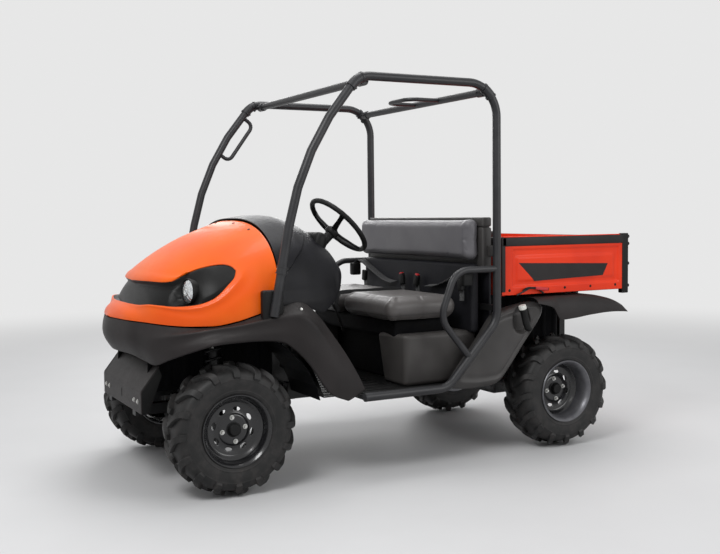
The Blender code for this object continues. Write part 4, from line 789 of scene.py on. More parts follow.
hoodSize = {
    "front": -1.383, "length": 0.638, "halfWidth": 0.615, "base": 0.775, "height": 0.475, "wall": 0.004,
    # share of the length, half-width share, seam and crown height shares
    "stations": [(0.000, 0.030, 0.046, 0.058), (0.052, 0.325, 0.042, 0.147), (0.118, 0.488, 0.036, 0.210),
                 (0.180, 0.618, 0.028, 0.390), (0.263, 0.740, 0.017, 0.516), (0.373, 0.845, 0.010, 0.621),
                 (0.514, 0.919, 0.010, 0.737), (0.671, 0.963, 0.042, 0.842), (0.835, 0.989, 0.105, 0.926),
                 (1.000, 1.000, 0.172, 1.000)],
    # outline of the dark band, from the middle out to its tip: share of the length, angle up from the seam
    "bandLow": [(0.104, 90.0), (0.109, 74.1), (0.118, 62.0), (0.141, 41.6), (0.178, 28.6), (0.239, 21.1), (0.302, 17.6),
                (0.388, 15.8), (0.451, 15.3), (0.530, 16.6), (0.588, 19.0), (0.648, 22.7), (0.700, 26.2),
                (0.722, 31.0)],
    "bandHigh": [(0.189, 90.0), (0.202, 73.5), (0.231, 60.0), (0.271, 50.5), (0.320, 45.6), (0.366, 45.6),
                 (0.404, 46.3), (0.450, 46.2), (0.514, 45.3), (0.578, 43.4), (0.642, 40.6), (0.675, 38.4),
                 (0.705, 35.0), (0.722, 31.0)],
    "bandDeep": 0.024, "lampAt": (0.450, -1.128, 0.933), "lampRadius": 0.060, "lampAim": (0.16, -0.985, 0.03),
    "screwsX": (0.130, -0.130, 0.330, -0.330), "screwsY": -0.775,
}


def hoodPoint(share, angle):
    # a squared half ellipse across the vehicle at each share of the length; angle runs over it from seam to seam
    table = np.array(hoodSize["stations"])
    wide, seam, crown = (through(table[:, 0], table[:, k], share) for k in (1, 2, 3))
    power = 2.0 / (2.0 + 0.6 * share)
    x = hoodSize["halfWidth"] * wide * np.sign(np.cos(angle)) * np.abs(np.cos(angle)) ** power
    z = seam + (crown - seam) * np.abs(np.sin(angle)) ** power
    return np.stack([x, hoodSize["front"] + share * hoodSize["length"], hoodSize["base"] + z * hoodSize["height"]], -1)


def hoodFacing(share, angle):
    # the cross product of two small steps over the surface
    share, angle = np.clip(share, 0.012, 1.0), np.clip(angle, 0.03, math.pi - 0.03)
    down = hoodPoint(np.clip(share + 0.008, 0, 1), angle) - hoodPoint(share - 0.008, angle)
    over = hoodPoint(share, angle + 0.02) - hoodPoint(share, angle - 0.02)
    return unit(np.cross(down, over))


def bandEdge(key, count):
    # the band's outline with its points an equal length apart on the hood
    table = np.radians(np.array(hoodSize[key]) * [180 / math.pi, 1])
    fine = between(table, 24)
    fine[:, 1] = np.minimum(fine[:, 1], math.pi / 2)
    points = hoodPoint(fine[:, 0], fine[:, 1])
    length = np.concatenate([[0.0], np.cumsum(np.linalg.norm(np.diff(points, axis=0), axis=1))])
    at = np.linspace(0, length[-1], count)
    return np.stack([np.interp(at, length, fine[:, k]) for k in (0, 1)], -1)


def buildHood():
    # skin and band are blends between outlines on the hood's own surface, lifted or set in along its normal
    low, high = bandEdge("bandLow", 61), bandEdge("bandHigh", 61)
    outline = np.concatenate([low, high[-2::-1]])
    # The skin runs out from the band's outline to the nose, the seam, the rear edge and the crown line
    count = len(outline)
    q = np.linspace(0, 1, count)
    share = np.where(q < 0.03, 0, through([0.03, 0.10, 0.20, 0.32, 0.43, 1.0], [0, 0.10, 0.27, 0.52, 1.0, 1.0], q))
    angle = np.where(q < 0.03, 90 - 90 * q / 0.03, through([0.03, 0.43, 0.50, 0.75, 1.0], [0, 0, 24, 60, 90], q))
    far = np.stack([share, np.radians(angle)], -1)
    out = np.concatenate([[0.0, 0.006, 0.016, 0.03], np.linspace(0.05, 1.0, 44)])[None, :, None]
    flat = outline[:, None] * (1 - out) + far[:, None] * out
    points, facing = hoodPoint(flat[..., 0], flat[..., 1]), hoodFacing(flat[..., 0], flat[..., 1])
    away = np.linalg.norm(points - points[:, :1], axis=-1)
    under = soft(points[..., 2], 1.050, 0.960)
    # A soft roll round the band, and the lip that runs below the lamp and dies out behind it
    lift = -0.0025 * bell(away, 0.0, 0.004) + 0.0045 * bell(away, 0.032, 0.016) * under * soft(q, 0.02, 0.34)[:, None]
    lift = lift - 0.002 * bell(away, 0.075, 0.025) * under * soft(q, 0.02, 0.34)[:, None]
    points = points + facing * lift[..., None]
    turnIn = points[:, :1] - facing[:, :1] * 0.007
    grid = np.concatenate([turnIn, points], 1)
    show("hoodSkin", bothSides([(grid, False, False)]), look["orange"], "hood", ["hood"],
         inside=np.array([0, -1.0, 0.80]), wall=hoodSize["wall"], edge=0.0012, sharpDeg=50)
    # Nose band and lamp recess: the same surface between the two edges, set in, and scooped at the lamp
    t = np.concatenate([[0, 0.02, 0.05, 0.09], np.linspace(0.14, 0.86, 26), [0.91, 0.95, 0.98, 1.0]])[None, :, None]
    flat = low[:, None] * (1 - t) + high[:, None] * t
    points, facing = hoodPoint(flat[..., 0], flat[..., 1]), hoodFacing(flat[..., 0], flat[..., 1])
    lamp, r = np.array(hoodSize["lampAt"]), hoodSize["lampRadius"]
    aim = unit(np.array(hoodSize["lampAim"]))
    tall = soft(t[..., 0], 0.0, 0.09) * soft(t[..., 0], 1.0, 0.93)
    inner = tall * soft(np.arange(len(low)), len(low) - 1.0, len(low) - 7.0)[:, None]
    # set in ahead of the lens plane, and behind it a fairing that comes up flush and tapers to the tip
    ahead = (points - lamp) @ aim
    deep = 0.005 + hoodSize["bandDeep"] * inner * soft(ahead, -0.030, 0.012)
    deep = deep - 0.010 * inner * bell(ahead, -0.075, 0.055)
    grid = points - facing * deep[..., None]
    # In front of the lens the recess drops along the lamp's own axis until it lies behind the lens
    ahead = (grid - lamp) @ aim
    off = np.linalg.norm((grid - lamp) - ahead[..., None] * aim, axis=-1)
    drop = np.maximum(ahead + 0.010, 0.0) * soft(off, r * 1.45, r * 1.06) * inner
    grid = grid - aim * drop[..., None]
    show("noseBand", bothSides([(grid, False, False)]), look["band"], "hood",
         inside=np.array([0, -1.0, 0.80]), wall=0.003, sharpDeg=60)
    for side, name in ((1, "left"), (-1, "right")):
        at, axis = lamp * [side, 1, 1], aim * [side, 1, 1]
        housing = turned([(0, -0.094), (r * 0.36, -0.092), (r * 0.60, -0.068), (r * 0.82, -0.038), (r, -0.008),
                          (r, 0.002), (r * 0.97, 0.004), (r * 0.93, 0.002), (r * 0.92, -0.012), (0, -0.012)], at, axis,
                          64)
        show("lampHousing_" + name, [housing], look["black"], "hood", ["headlamp_" + name])
        angle = np.linspace(0, math.pi / 2, 14)
        dome = np.stack([r * 0.915 * np.sin(angle), 0.014 * np.cos(angle) - 0.006], -1)
        bowl = np.concatenate([dome, [(r * 0.915, -0.010), (0, -0.010)]])
        show("lampLens_" + name, [turned(bowl, at, axis, 64)], look["lampSilver"], "hood")
        ring = turned([(0.016, 0.0050), (0.0175, 0.0095), (0.0195, 0.0098), (0.021, 0.0050)], at, axis, 32, closed=True)
        show("lampRing_" + name, [ring], look["zinc"], "hood")
    screws = []
    share = np.array((hoodSize["screwsY"] - hoodSize["front"]) / hoodSize["length"])
    for x in hoodSize["screwsX"]:
        tall = np.arccos(np.clip(abs(x) / hoodSize["halfWidth"], 0, 1) ** 1.3)
        angle = np.array(tall if x > 0 else math.pi - tall)
        at, facing = hoodPoint(share, angle), hoodFacing(share, angle)
        screws.append(turned([(0, 0.003), (0.006, 0.0022), (0.008, 0), (0.008, -0.003), (0, -0.003)], at, facing, 20))
    show("hoodFasteners", screws, look["black"], "hood")


buildHood()
print("hood made")


# Bumper and fenders in one moulding

fenderSize = {
    "halfWidth": 0.672, "drop": 0.175, "lipZ": 0.612, "gap": 0.006, "rear": -0.745, "wall": 0.004,
    "flap": ((0.613, -0.842, 0.780), (0.652, -0.738, 0.935), 0.012), "screwAt": (0.6575, -0.655, 0.842),
    # for each hood station: lip x share, y offset share, z share, bulge
    "nose": [(0.00, 0.075, 0.13, 0.16), (0.28, 0.070, 0.10, 0.15), (0.44, 0.050, -0.02, 0.15),
             (0.585, 0.000, -0.07, 0.15), (0.735, -0.04, 0.14, 0.15), (0.86, -0.04, 0.36, 0.16),
             (0.95, -0.03, 0.56, 0.16), (0.980, -0.02, 0.60, 0.18), (0.990, -0.02, 0.59, 0.20),
             (0.995, -0.03, 0.52, 0.22)],
    # down the leg: seam x, y, z, lip x, y, z, bulge
    "leg": [(0.920, 0.10, 0.55, 1.000, 0.051, -0.64, 0.24), (0.930, 0.17, 0.30, 1.000, 0.110, -0.97, 0.20),
            (0.940, 0.24, -0.20, 1.000, 0.154, -1.30, 0.16), (0.948, 0.325, -0.88, 1.000, 0.198, -1.68, 0.12),
            (0.954, 0.390, -1.50, 1.000, 0.248, -1.98, 0.08), (0.954, 0.430, -1.95, 0.990, 0.331, -2.18, 0.04)],
}


def fenderLines():
    # seam line, lip line and bulge, front to rear, for the left half
    station, nose = np.array(hoodSize["stations"]), np.array(fenderSize["nose"])
    y = hoodSize["front"] + station[:, 0] * hoodSize["length"]
    wide = station[:, 1] * hoodSize["halfWidth"]
    wide[0] = 0.0
    seam = np.stack([wide, y, hoodSize["base"] + station[:, 2] * hoodSize["height"] - fenderSize["gap"]], -1)
    lip = np.stack([nose[:, 0] * fenderSize["halfWidth"], y + nose[:, 1] * fenderSize["drop"] * 2,
                    fenderSize["lipZ"] + nose[:, 2] * fenderSize["drop"]], -1)
    leg, f = np.array(fenderSize["leg"]), fenderSize
    legSeam = np.stack([leg[:, 0] * f["halfWidth"], f["rear"] + leg[:, 1], hoodSize["base"] + leg[:, 2] * f["drop"]],
                       -1)
    legLip = np.stack([leg[:, 3] * f["halfWidth"], f["rear"] + leg[:, 4], hoodSize["base"] + leg[:, 5] * f["drop"]], -1)
    return (np.concatenate([seam, legSeam]), np.concatenate([lip, legLip]), np.concatenate([nose[:, 3], leg[:, 6]]))


def buildFrontBody():
    # a sheet between the seam line and the lip line, bulged outward by half a sine wave
    seam, lip, bulge = fenderLines()
    mirror = np.array([-1, 1, 1])
    seam, lip = np.concatenate([(seam * mirror)[:0:-1], seam]), np.concatenate([(lip * mirror)[:0:-1], lip])
    bulge = np.concatenate([bulge[:0:-1], bulge])
    seam, lip, bulge = between(seam, 9), between(lip, 9), between(bulge[:, None], 9)[:, 0]
    chord = lip - seam
    length = np.linalg.norm(chord, axis=1, keepdims=True)
    along = chord / length
    outward = unit(np.stack([seam[:, 0], np.minimum(seam[:, 1] + 0.970, 0.0), 0 * bulge], -1))
    normal = unit(outward - along * (outward * along).sum(1, keepdims=True))
    # each section goes from the seam to the lip and is lifted outward by half a sine wave
    t = np.linspace(0, 1, 30)[None, :, None]
    lift = bulge[:, None, None] * length[:, None] * np.sin(math.pi * t)
    points = seam[:, None] + chord[:, None] * t + normal[:, None] * lift
    # a soft shoulder line above the arch, and the lip turned in underneath
    shoulder = 0.010 * bell(t, 0.34, 0.10) - 0.006 * bell(t, 0.62, 0.16)
    fade = soft(np.abs(seam[:, 0]), 0.30, 0.52)[:, None, None] * soft(seam[:, 1], -0.42, -0.66)[:, None, None]
    points = points + normal[:, None] * shoulder * fade
    points[..., 1] = np.maximum(points[..., 1], -1.3998)
    points[..., 0] = np.clip(points[..., 0], -0.6995, 0.6995)
    hem = points[:, -1:] - normal[:, None] * np.array([0.004, 0.014])[None, :, None] + along[:, None] * 0.003
    tuck = points[:, :1] - normal[:, None] * 0.012 - along[:, None] * 0.002
    grid = np.concatenate([tuck, points, hem], 1)
    show("frontBody", [(grid, False, False)], look["charcoal"], "chassis", ["front_body"],
         inside=np.array([0, -0.9, 0.55]), wall=fenderSize["wall"], edge=0.0012, sharpDeg=50)
    screws = []
    for side in (-1, 1):
        screws.append(turned([(0, 0.004), (0.006, 0.003), (0.008, 0), (0.008, -0.004), (0, -0.004)],
                             np.array(fenderSize["screwAt"]) * [side, 1, 1], (side, -0.1, 0.25), 20))
    show("fenderScrews", screws, look["zinc"], "chassis")
    flaps = bothSides([block(*fenderSize["flap"])])
    show("hoopFootFlaps", flaps, look["black"], "chassis")


apronSize = {
    # x, y low, y high, z low, z high, rib pitch
    "front": (0.262, -1.270, -0.640, 0.452, 0.800, 0.09), "rear": (0.398, 0.500, 1.060, 0.430, 0.824, 0.08),
    "rib": 0.006, "wall": 0.003, "bulkhead": ((-0.574, 0.4635, 0.560), (0.574, 0.4785, 0.984), 0.006),
}


def buildAprons():
    # pressed sheets between the wheels and the frame: flat, with upright ribs that follow a cosine; near-black, as
    # painted shade of the wheel arches
    for name in ("front", "rear"):
        x, yLow, yHigh, zLow, zHigh, pitch = apronSize[name]
        y, z = np.meshgrid(np.linspace(yLow, yHigh, 90), np.linspace(zLow, zHigh, 24), indexing="ij")
        rib = apronSize["rib"] * soft(np.cos(y * 2 * math.pi / pitch), 0.2, 0.8)
        rib = rib * soft(z, zLow + 0.01, zLow + 0.04) * soft(z, zHigh - 0.01, zHigh - 0.04)
        sheet = np.stack([x + rib, y, z], -1)
        show("innerApron_" + name, bothSides([(sheet, False, False)]), look["shadeBlack"], "chassis",
             inside=np.array([0, (yLow + yHigh) / 2, 0.6]), wall=apronSize["wall"])
    # the bulkhead takes the same dark finish, with its painted shade
    show("bulkhead", [block(*apronSize["bulkhead"])], look["lowerBack"], "chassis")


buildFrontBody()
buildAprons()
print("bumper and fenders made")


# Cowl, dash and steering

cowlSize = {
    "front": -0.739, "length": 0.385, "halfWidth": 0.615, "height": 0.420, "base": 0.857,
    "stay": ((0.575, -0.722, 1.020), (0.650, -0.750, 1.020), 0.009),
    "pod": ((0.215, -0.462, 1.085), (0.410, -0.395, 1.190), 0.028), "podAbout": (0.312, -0.43, 1.13), "podLean": -18,
    "stations": [(0.000, 1.000, 0.000, 0.965), (0.330, 0.985, -0.030, 1.000), (0.600, 0.950, -0.100, 0.930),
                 (0.780, 0.900, -0.020, 0.840), (0.930, 0.840, 0.120, 0.700), (1.000, 0.780, 0.260, 0.520)],
}
steerSize = {
    "centre": (0.312, -0.282, 1.221), "tiltDeg": 46.5, "ring": 0.1715, "grip": 0.0133, "hub": 0.036, "dish": 0.045,
    "spokesDeg": (90.0, 205.0, 335.0),
}


def buildCowl():
    # a squared half ellipse at each share of the length, closed at the rear by rings that shrink to its middle
    table = np.array(cowlSize["stations"])
    share = np.linspace(0, 1, 90)[:, None]
    wide, low, crown = (through(table[:, 0], table[:, k], share) for k in (1, 2, 3))
    angle = np.linspace(0, math.pi, 241)[None]
    across = np.sign(np.cos(angle)) * np.abs(np.cos(angle)) ** (2 / 2.6)
    rise = np.abs(np.sin(angle)) ** (2 / 2.6)
    x = cowlSize["halfWidth"] * wide * across
    z = cowlSize["base"] + cowlSize["height"] * (low + (crown - low) * rise)
    y = cowlSize["front"] + cowlSize["length"] * share + 0 * x
    points = np.stack([x, y, z], -1)
    # below a crease that rises to the rear the side is set in by a few millimetres
    crease = 1.02 + 0.20 * soft(y, -0.70, -0.40) + 0.03 * soft(y, -0.70, -0.62)
    step = 0.012 * soft(z, crease, crease - 0.008) * soft(z, 0.86, 0.93)
    step = step * soft(share, 0.0, 0.05) * soft(share, 0.98, 0.86)
    points[..., 0] -= np.sign(points[..., 0]) * step
    # rolled shoulder over the side, and the dash face that closes the rear
    middle = np.array([0, y[-1, 0], cowlSize["base"] + cowlSize["height"] * 0.34])
    rings = [middle + (points[-1] - middle) * s + np.array([0, push, 0])
             for s, push in ((0.985, 0.004), (0.95, 0.005), (0.90, -0.004), (0.86, -0.010), (0.60, -0.012),
                             (0.30, -0.012), (0.0, -0.012))]
    grid = np.concatenate([points, np.stack(rings)])
    show("cowlShell", [(grid, False, False)], look["cowl"], "chassis", ["cowl"],
         inside=np.array([0, -0.6, 0.95]), wall=0.004, edge=0.001, sharpDeg=50)
    # stays to the hoops' legs, and the gauge pod, blank
    stays = bothSides([bar(*cowlSize["stay"])])
    pod = [placed(block(*cowlSize["pod"]), cowlSize["podAbout"], cowlSize["podLean"], (1, 0, 0))]
    show("cowlStays", stays, look["tube"], "chassis")
    show("gaugePod", pod, look["black"], "chassis")


def buildSteering():
    # a circle carried round the rim, spokes along smooth curves, and hub, pad and boot turned about the axis
    s = steerSize
    tilt = math.radians(s["tiltDeg"])
    centre, axis = np.array(s["centre"]), np.array([0, math.sin(tilt), math.cos(tilt)])
    side = np.array([1.0, 0, 0])
    up = np.cross(axis, side)
    angle = np.arange(120)[:, None] * 2 * math.pi / 120
    ringPath = centre + s["ring"] * (np.cos(angle) * side + np.sin(angle) * up)
    knuckle = bell(np.mod(angle[:, 0] * 24 / (2 * math.pi), 1.0), 0.5, 0.16)
    dimple = 1.0 - 0.05 * knuckle * soft(np.sin(angle[:, 0]), 0.9, 0.5)
    ring = sweep(ringPath, circle(s["grip"], 18), axis, size=dimple, closed=True)
    hubAt = centre - axis * s["dish"]
    grids = [ring]
    for deg in s["spokesDeg"]:
        a = math.radians(deg)
        out = math.cos(a) * side + math.sin(a) * up
        line = between([hubAt + out * 0.012 + axis * 0.004, hubAt + out * 0.050 + axis * 0.012,
                        hubAt + out * 0.105 + axis * 0.028, centre + out * (s["ring"] - 0.002)], 8)
        width = through([0, 0.3, 0.75, 1], [1.25, 1.0, 0.82, 1.15], np.linspace(0, 1, len(line)))
        grids.append(sweep(line, roundedRect(0.030, 0.0125, 0.0058), axis, size=width))
    hub = turned([(0, 0.016), (0.020, 0.015), (0.030, 0.010), (s["hub"], 0.002), (s["hub"], -0.014), (0.030, -0.022),
                  (0, -0.022)], hubAt, axis, 48)
    pad = turned([(0, 0.0205), (0.014, 0.020), (0.0185, 0.0175), (0.0195, 0.014), (0, 0.014)], hubAt, axis, 40)
    show("steeringWheel", grids + [hub, pad], look["black"], "wheel_hand", ["steering_wheel"])
    top = hubAt - axis * 0.0235
    boot = [turned([(0, 0), (0.024, 0), (0.0245, -0.05), (0.026, -0.06), (0.0295, -0.065), (0.026, -0.072),
                    (0.031, -0.079), (0.027, -0.087), (0.034, -0.094), (0.028, -0.104), (0.026, -0.20), (0.022, -0.30),
                    (0, -0.30)],
                   top, axis, 36)]
    show("steeringColumn", boot, look["black"], "chassis", ["steering_column"])


buildCowl()
buildSteering()
print("cowl and steering made")


# Seats

seatSize = {
    "cushionLow": (0.012, -0.135, 0.738), "cushionHigh": (0.557, 0.300, 0.856), "cushionRound": 0.046,
    "backLow": (-0.592, 0.318, 1.022), "backHigh": (0.592, 0.403, 1.252), "backRound": 0.036,
    "shrink": 0.007, "voxel": 0.006, "pressure": 4.0, "cap": 0.009, "backCap": 0.008, "fill": 0.75,
    # blocks: low corner, high corner, edge radius
    "panels": [((-0.600, 0.4033, 1.203), (0.600, 0.4633, 1.252), 0.010),
               ((-0.600, 0.4033, 0.985), (0.600, 0.4633, 1.200), 0.010),
               ((-0.590, 0.4120, 1.190), (0.590, 0.4546, 1.214), 0.003)],
    "panelTab": ((0.590, 0.436, 1.050), (0.638, 0.464, 1.105), 0.004),
    "pan": [((-0.330, 0.030, 0.4033), (0.330, 0.400, 0.650), 0.014),
            ((-0.470, -0.050, 0.640), (0.470, 0.290, 0.7375), 0.020)],
    "lowerBack": ((-0.574, 0.352, 0.655), (0.574, 0.402, 1.012), 0.018),
    "boxLow": (0.325, -0.040, 0.4033), "boxHigh": (0.545, 0.405, 0.665), "boxRound": 0.026,
    "strap": [(0, -0.128, 0.745), (0, -0.140, 0.790), (0, -0.128, 0.835), (0, -0.100, 0.852), (0, 0.05, 0.853),
              (0, 0.25, 0.852), (0, 0.30, 0.80)],
}


def takePoints(mesh):
    # the mesh's points as rows of x, y, z
    points = np.zeros(len(mesh.vertices) * 3, np.float32)
    mesh.vertices.foreach_get("co", points)
    return points.reshape(-1, 3).astype(float)


def puffed(name, grids, finish, cap, low, high, node):
    # a smaller closed form, remeshed, blown up as cloth, and held to a cap and to its own space
    start = bpy.data.objects.new(name, meshFrom(name, grids))
    bpy.context.scene.collection.objects.link(start)
    remesh = start.modifiers.new("remesh", "REMESH")
    remesh.mode, remesh.voxel_size = "VOXEL", seatSize["voxel"] * 1
    graph = bpy.context.evaluated_depsgraph_get()
    mesh = bpy.data.meshes.new_from_object(start.evaluated_get(graph))
    start.modifiers.clear()
    start.data = mesh
    before = takePoints(mesh)
    facing = np.zeros(len(before) * 3, np.float32)
    mesh.vertices.foreach_get("normal", facing)
    after = before + facing.reshape(-1, 3) * cap * 0.8
    cloth = start.modifiers.new("cloth", "CLOTH")
    cloth.settings.use_pressure = True
    cloth.settings.uniform_pressure_force = seatSize["pressure"]
    cloth.settings.effector_weights.gravity = 0.0
    cloth.settings.quality = 4
    cloth.point_cache.frame_end = 20
    for number in range(1, 21):
        bpy.context.scene.frame_set(number)
    graph = bpy.context.evaluated_depsgraph_get()
    blown = bpy.data.meshes.new_from_object(start.evaluated_get(graph))
    after = takePoints(blown)
    start.modifiers.clear()
    bpy.context.scene.frame_set(1)
    moved = after - before
    reach = np.linalg.norm(moved, axis=1, keepdims=True)
    points = before + moved * np.minimum(1.0, cap / np.maximum(reach, 1e-9))
    points = np.clip(points, np.array(low), np.array(high))
    mesh.vertices.foreach_set("co", points.astype(np.float32).ravel())
    mesh.update()
    mesh.shade_smooth()
    mesh.materials.clear()
    mesh.materials.append(finish)
    smooth = start.modifiers.new("fine", "SUBSURF")
    smooth.levels = smooth.render_levels = 1
    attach(start, "chassis")
    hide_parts(node)


def cushionForm(side):
    # the cushion's block with a raised front bolster, a dished middle and sides drawn in low down
    s = seatSize
    low, high = np.array(s["cushionLow"]) + s["shrink"], np.array(s["cushionHigh"]) - s["shrink"]
    low[2] -= s["shrink"] - 0.001
    points, down, across = block(low, high, s["cushionRound"], 7)
    t = (points[..., 2:] - low[2]) / (high[2] - low[2])
    middle = (low + high) / 2
    points = points.copy()
    points[..., :2] = middle[:2] + (points[..., :2] - middle[:2]) * (1 - 0.035 * soft(t, 0.5, 0.0))
    sag = (bell(points[..., 0], middle[0], 0.17) * bell(points[..., 1], middle[1] + 0.06, 0.13))
    points[..., 2] -= 0.012 * sag * t[..., 0]
    points[..., 0] *= side
    return [(points, down, across)]


def buildSeats():
    # cushions and back are blown up from rounded blocks; the panels and boxes are blocks with their sides drawn in
    s = seatSize
    for side, name in ((1, "driver"), (-1, "passenger")):
        low, high = list(s["cushionLow"]), list(s["cushionHigh"])
        if side < 0:
            low[0], high[0] = -high[0], -low[0]
        low[0], high[0], high[2] = low[0] - 0.002, high[0] + 0.002, high[2] + 0.008
        puffed("cushion_" + name + "_soft", cushionForm(side), look["seatVinyl"], s["cap"], low, high,
               "cushion_" + name)
    low, high = np.array(s["backLow"]) + s["shrink"], np.array(s["backHigh"]) - s["shrink"]
    low[1], high[1] = s["backLow"][1] + s["shrink"], s["backHigh"][1] - 0.001
    points, down, across = block(low, high, s["backRound"], 6)
    points = points.copy()
    front = soft(points[..., 1], 0.40, 0.33)
    points[..., 1] += 0.010 * bell(points[..., 2], 1.12, 0.06) * front * soft(np.abs(points[..., 0]), 0.60, 0.46)
    puffed("seatBackSoft", [(points, down, across)], look["backVinyl"], s["backCap"],
           (s["backLow"][0], s["backLow"][1] - 0.004, s["backLow"][2]),
           (s["backHigh"][0], s["backHigh"][1], s["backHigh"][2]), "seat_back")
    # panel behind the seat back, in two mouldings with a joint between, and its tabs to the pillars
    panel = [block(*row) for row in s["panels"]] + bothSides([block(*s["panelTab"])])
    show("backPanel", panel, look["quarter"], "chassis", ["back_panel"])
    # a box under each seat with drawn-in front edges, and between them a near-black middle set back: painted shade
    # under the seats
    low, high = np.array(s["boxLow"]), np.array(s["boxHigh"])
    points, down, across = block(low, high, s["boxRound"], 6)
    points = points.copy()
    t = (points[..., 2] - low[2]) / (high[2] - low[2])
    front = soft(points[..., 1], 0.15, low[1])
    points[..., 1] -= front * 0.034 * soft(t, 0.60, 1.0)
    points[..., 1] += front * 0.046 * soft(points[..., 0], 0.46, 0.545) * soft(t, 0.0, 0.5)
    show("seatBoxes", bothSides([(points, down, across)]), look["seatBase"], "chassis",
         ["seat_base"])
    # the pan and the middle block are near-black, painted shade under the cushions
    show("seatPan", [block(*row) for row in s["pan"]], look["shadeBlack"], "chassis")
    # the lower back panel: dark, with painted shade under the seat back
    show("lowerBackPanel", [block(*s["lowerBack"])], look["lowerBack"], "chassis")
    strap = between(s["strap"], 6)
    show("middleStrap", [sweep(strap, roundedRect(0.022, 0.0025, 0.001), (1, 0, 0))], look["web"], "chassis")


buildSeats()
print("seats made")


# Quarter panels, flares and filler

quarterSize = {
    "inner": 0.575, "outer": 0.6383, "y": 0.182, "length": 0.606, "z": 0.372, "height": 0.440,
    "outline": [(0.44, 0.80), (0.52, 0.885), (0.74, 0.955), (0.93, 0.985), (0.995, 0.90), (0.95, 0.76), (0.78, 0.475),
                (0.62, 0.20), (0.50, 0.035), (0.355, 0.00), (0.17, 0.00), (0.01, 0.036), (0.03, 0.10), (0.15, 0.307),
                (0.30, 0.55)],
    "recess": (0.628, 0.712, 0.060, 0.078, 0.034), "centre": (0.49, 0.60),
    "tab": ((0.5665, 0.300, 0.380), (0.600, 0.360, 0.405), 0.002),
    "neckLow": (0.6585, 0.645, 0.680), "neckHigh": (0.6585, 0.615, 0.780), "neck": 0.0185,
}
flareSize = {
    "inner": 0.420, "outer": 0.683, "y": 0.700, "length": 0.624, "top": 0.826, "depth": 0.130,
    "stations": [(0.000, 0.00, 0.22), (0.160, 0.00, 0.42), (0.250, 0.00, 0.96), (0.400, 0.00, 0.92),
                 (0.580, 0.00, 0.83), (0.810, 0.18, 0.77), (0.963, 0.47, 0.80), (1.000, 0.70, 0.82)],
}


def buildQuarters():
    # rings shrink from the outline to its middle, and their depth follows a quarter turn and then stays flat
    q = quarterSize
    outline = np.array(q["outline"]) * [q["length"], q["height"]] + [q["y"], q["z"]]
    loop = np.concatenate([outline[-2:], outline, outline[:3]])
    fine = between(loop, 14)[2 * 14:-2 * 14 - 1]
    fine = spaced(np.concatenate([fine, fine[:1]]), 181)[:-1]
    centre = np.array(q["centre"])
    # rings from the edge in to the middle; depth follows a quarter turn, then stays flat
    t = np.concatenate([[0, 0.012, 0.03, 0.055, 0.085], np.linspace(0.11, 0.34, 16), np.linspace(0.37, 1.0, 24)])
    edge = np.sqrt(np.clip(1 - (1 - np.clip(t / 0.14, 0, 1)) ** 2, 0, 1))
    points = centre + (fine[None] - centre) * (1 - t)[:, None, None]
    x = q["inner"] + (q["outer"] - q["inner"] - 0.0036) * (0.25 + 0.75 * edge[:, None]) * np.ones(len(fine))
    y0, z0, ry, rz, deep = q["recess"]
    away = np.sqrt(((points[..., 0] - y0) / ry) ** 2 + ((points[..., 1] - z0) / rz) ** 2)
    x = x - deep * soft(away, 1.0, 0.72) * soft(t, 0.0, 0.14)[:, None]
    x = x + 0.0034 * bell(t, 0.155, 0.030)[:, None] - 0.0030 * bell(t, 0.26, 0.05)[:, None]
    grid = np.stack([x, points[..., 0], points[..., 1]], -1)
    rim = np.stack([np.full(len(fine), q["inner"]), fine[:, 0], fine[:, 1]], -1)[None]
    grid = np.concatenate([rim, grid])
    for side, name in ((1, "left"), (-1, "right")):
        made = grid * [side, 1, 1]
        tab = block(*q["tab"])
        back = (np.concatenate([rim, rim * 0 + np.array([q["inner"], *centre])]) * [side, 1, 1], False, True)
        show("quarterPanel_" + name, [(made, False, True), back, tab if side > 0 else mirroredGrid(tab)],
             look["quarter"], "chassis", ["quarter_" + name])
    low, high = np.array(q["neckLow"]), np.array(q["neckHigh"])
    along = unit(high - low)
    neck = [tube(between([low - along * 0.005 + [-0.012, 0.02, -0.01], low, (low + high) / 2, high], 6), q["neck"],
                 (1, 0, 0), 28),
            turned([(0.0185, 0), (0.0205, 0.001), (0.0205, 0.006), (0.0185, 0.008)], high - along * 0.02, along, 32)]
    cap = []
    angle = np.arange(48) * 2 * math.pi / 48
    knurl = 0.0193 + 0.0007 * np.sign(np.cos(angle * 12))
    rows = [(0.0, 0.0), (0.9, 0.0), (1.0, 0.002), (1.0, 0.020), (0.90, 0.0235), (0.0, 0.024)]
    side, lift = np.array([1.0, 0, 0]), np.cross(along, [1.0, 0, 0])
    cap.append((np.stack([high - along * 0.0118 + along * h + (knurl * r)[:, None] * (np.cos(angle)[:, None] * side
                          + np.sin(angle)[:, None] * lift) for r, h in rows]), False, True))
    show("fillerNeck", neck, look["black"], "chassis", ["fuel_filler"])
    show("fillerCap", cap, look["white"], "chassis")


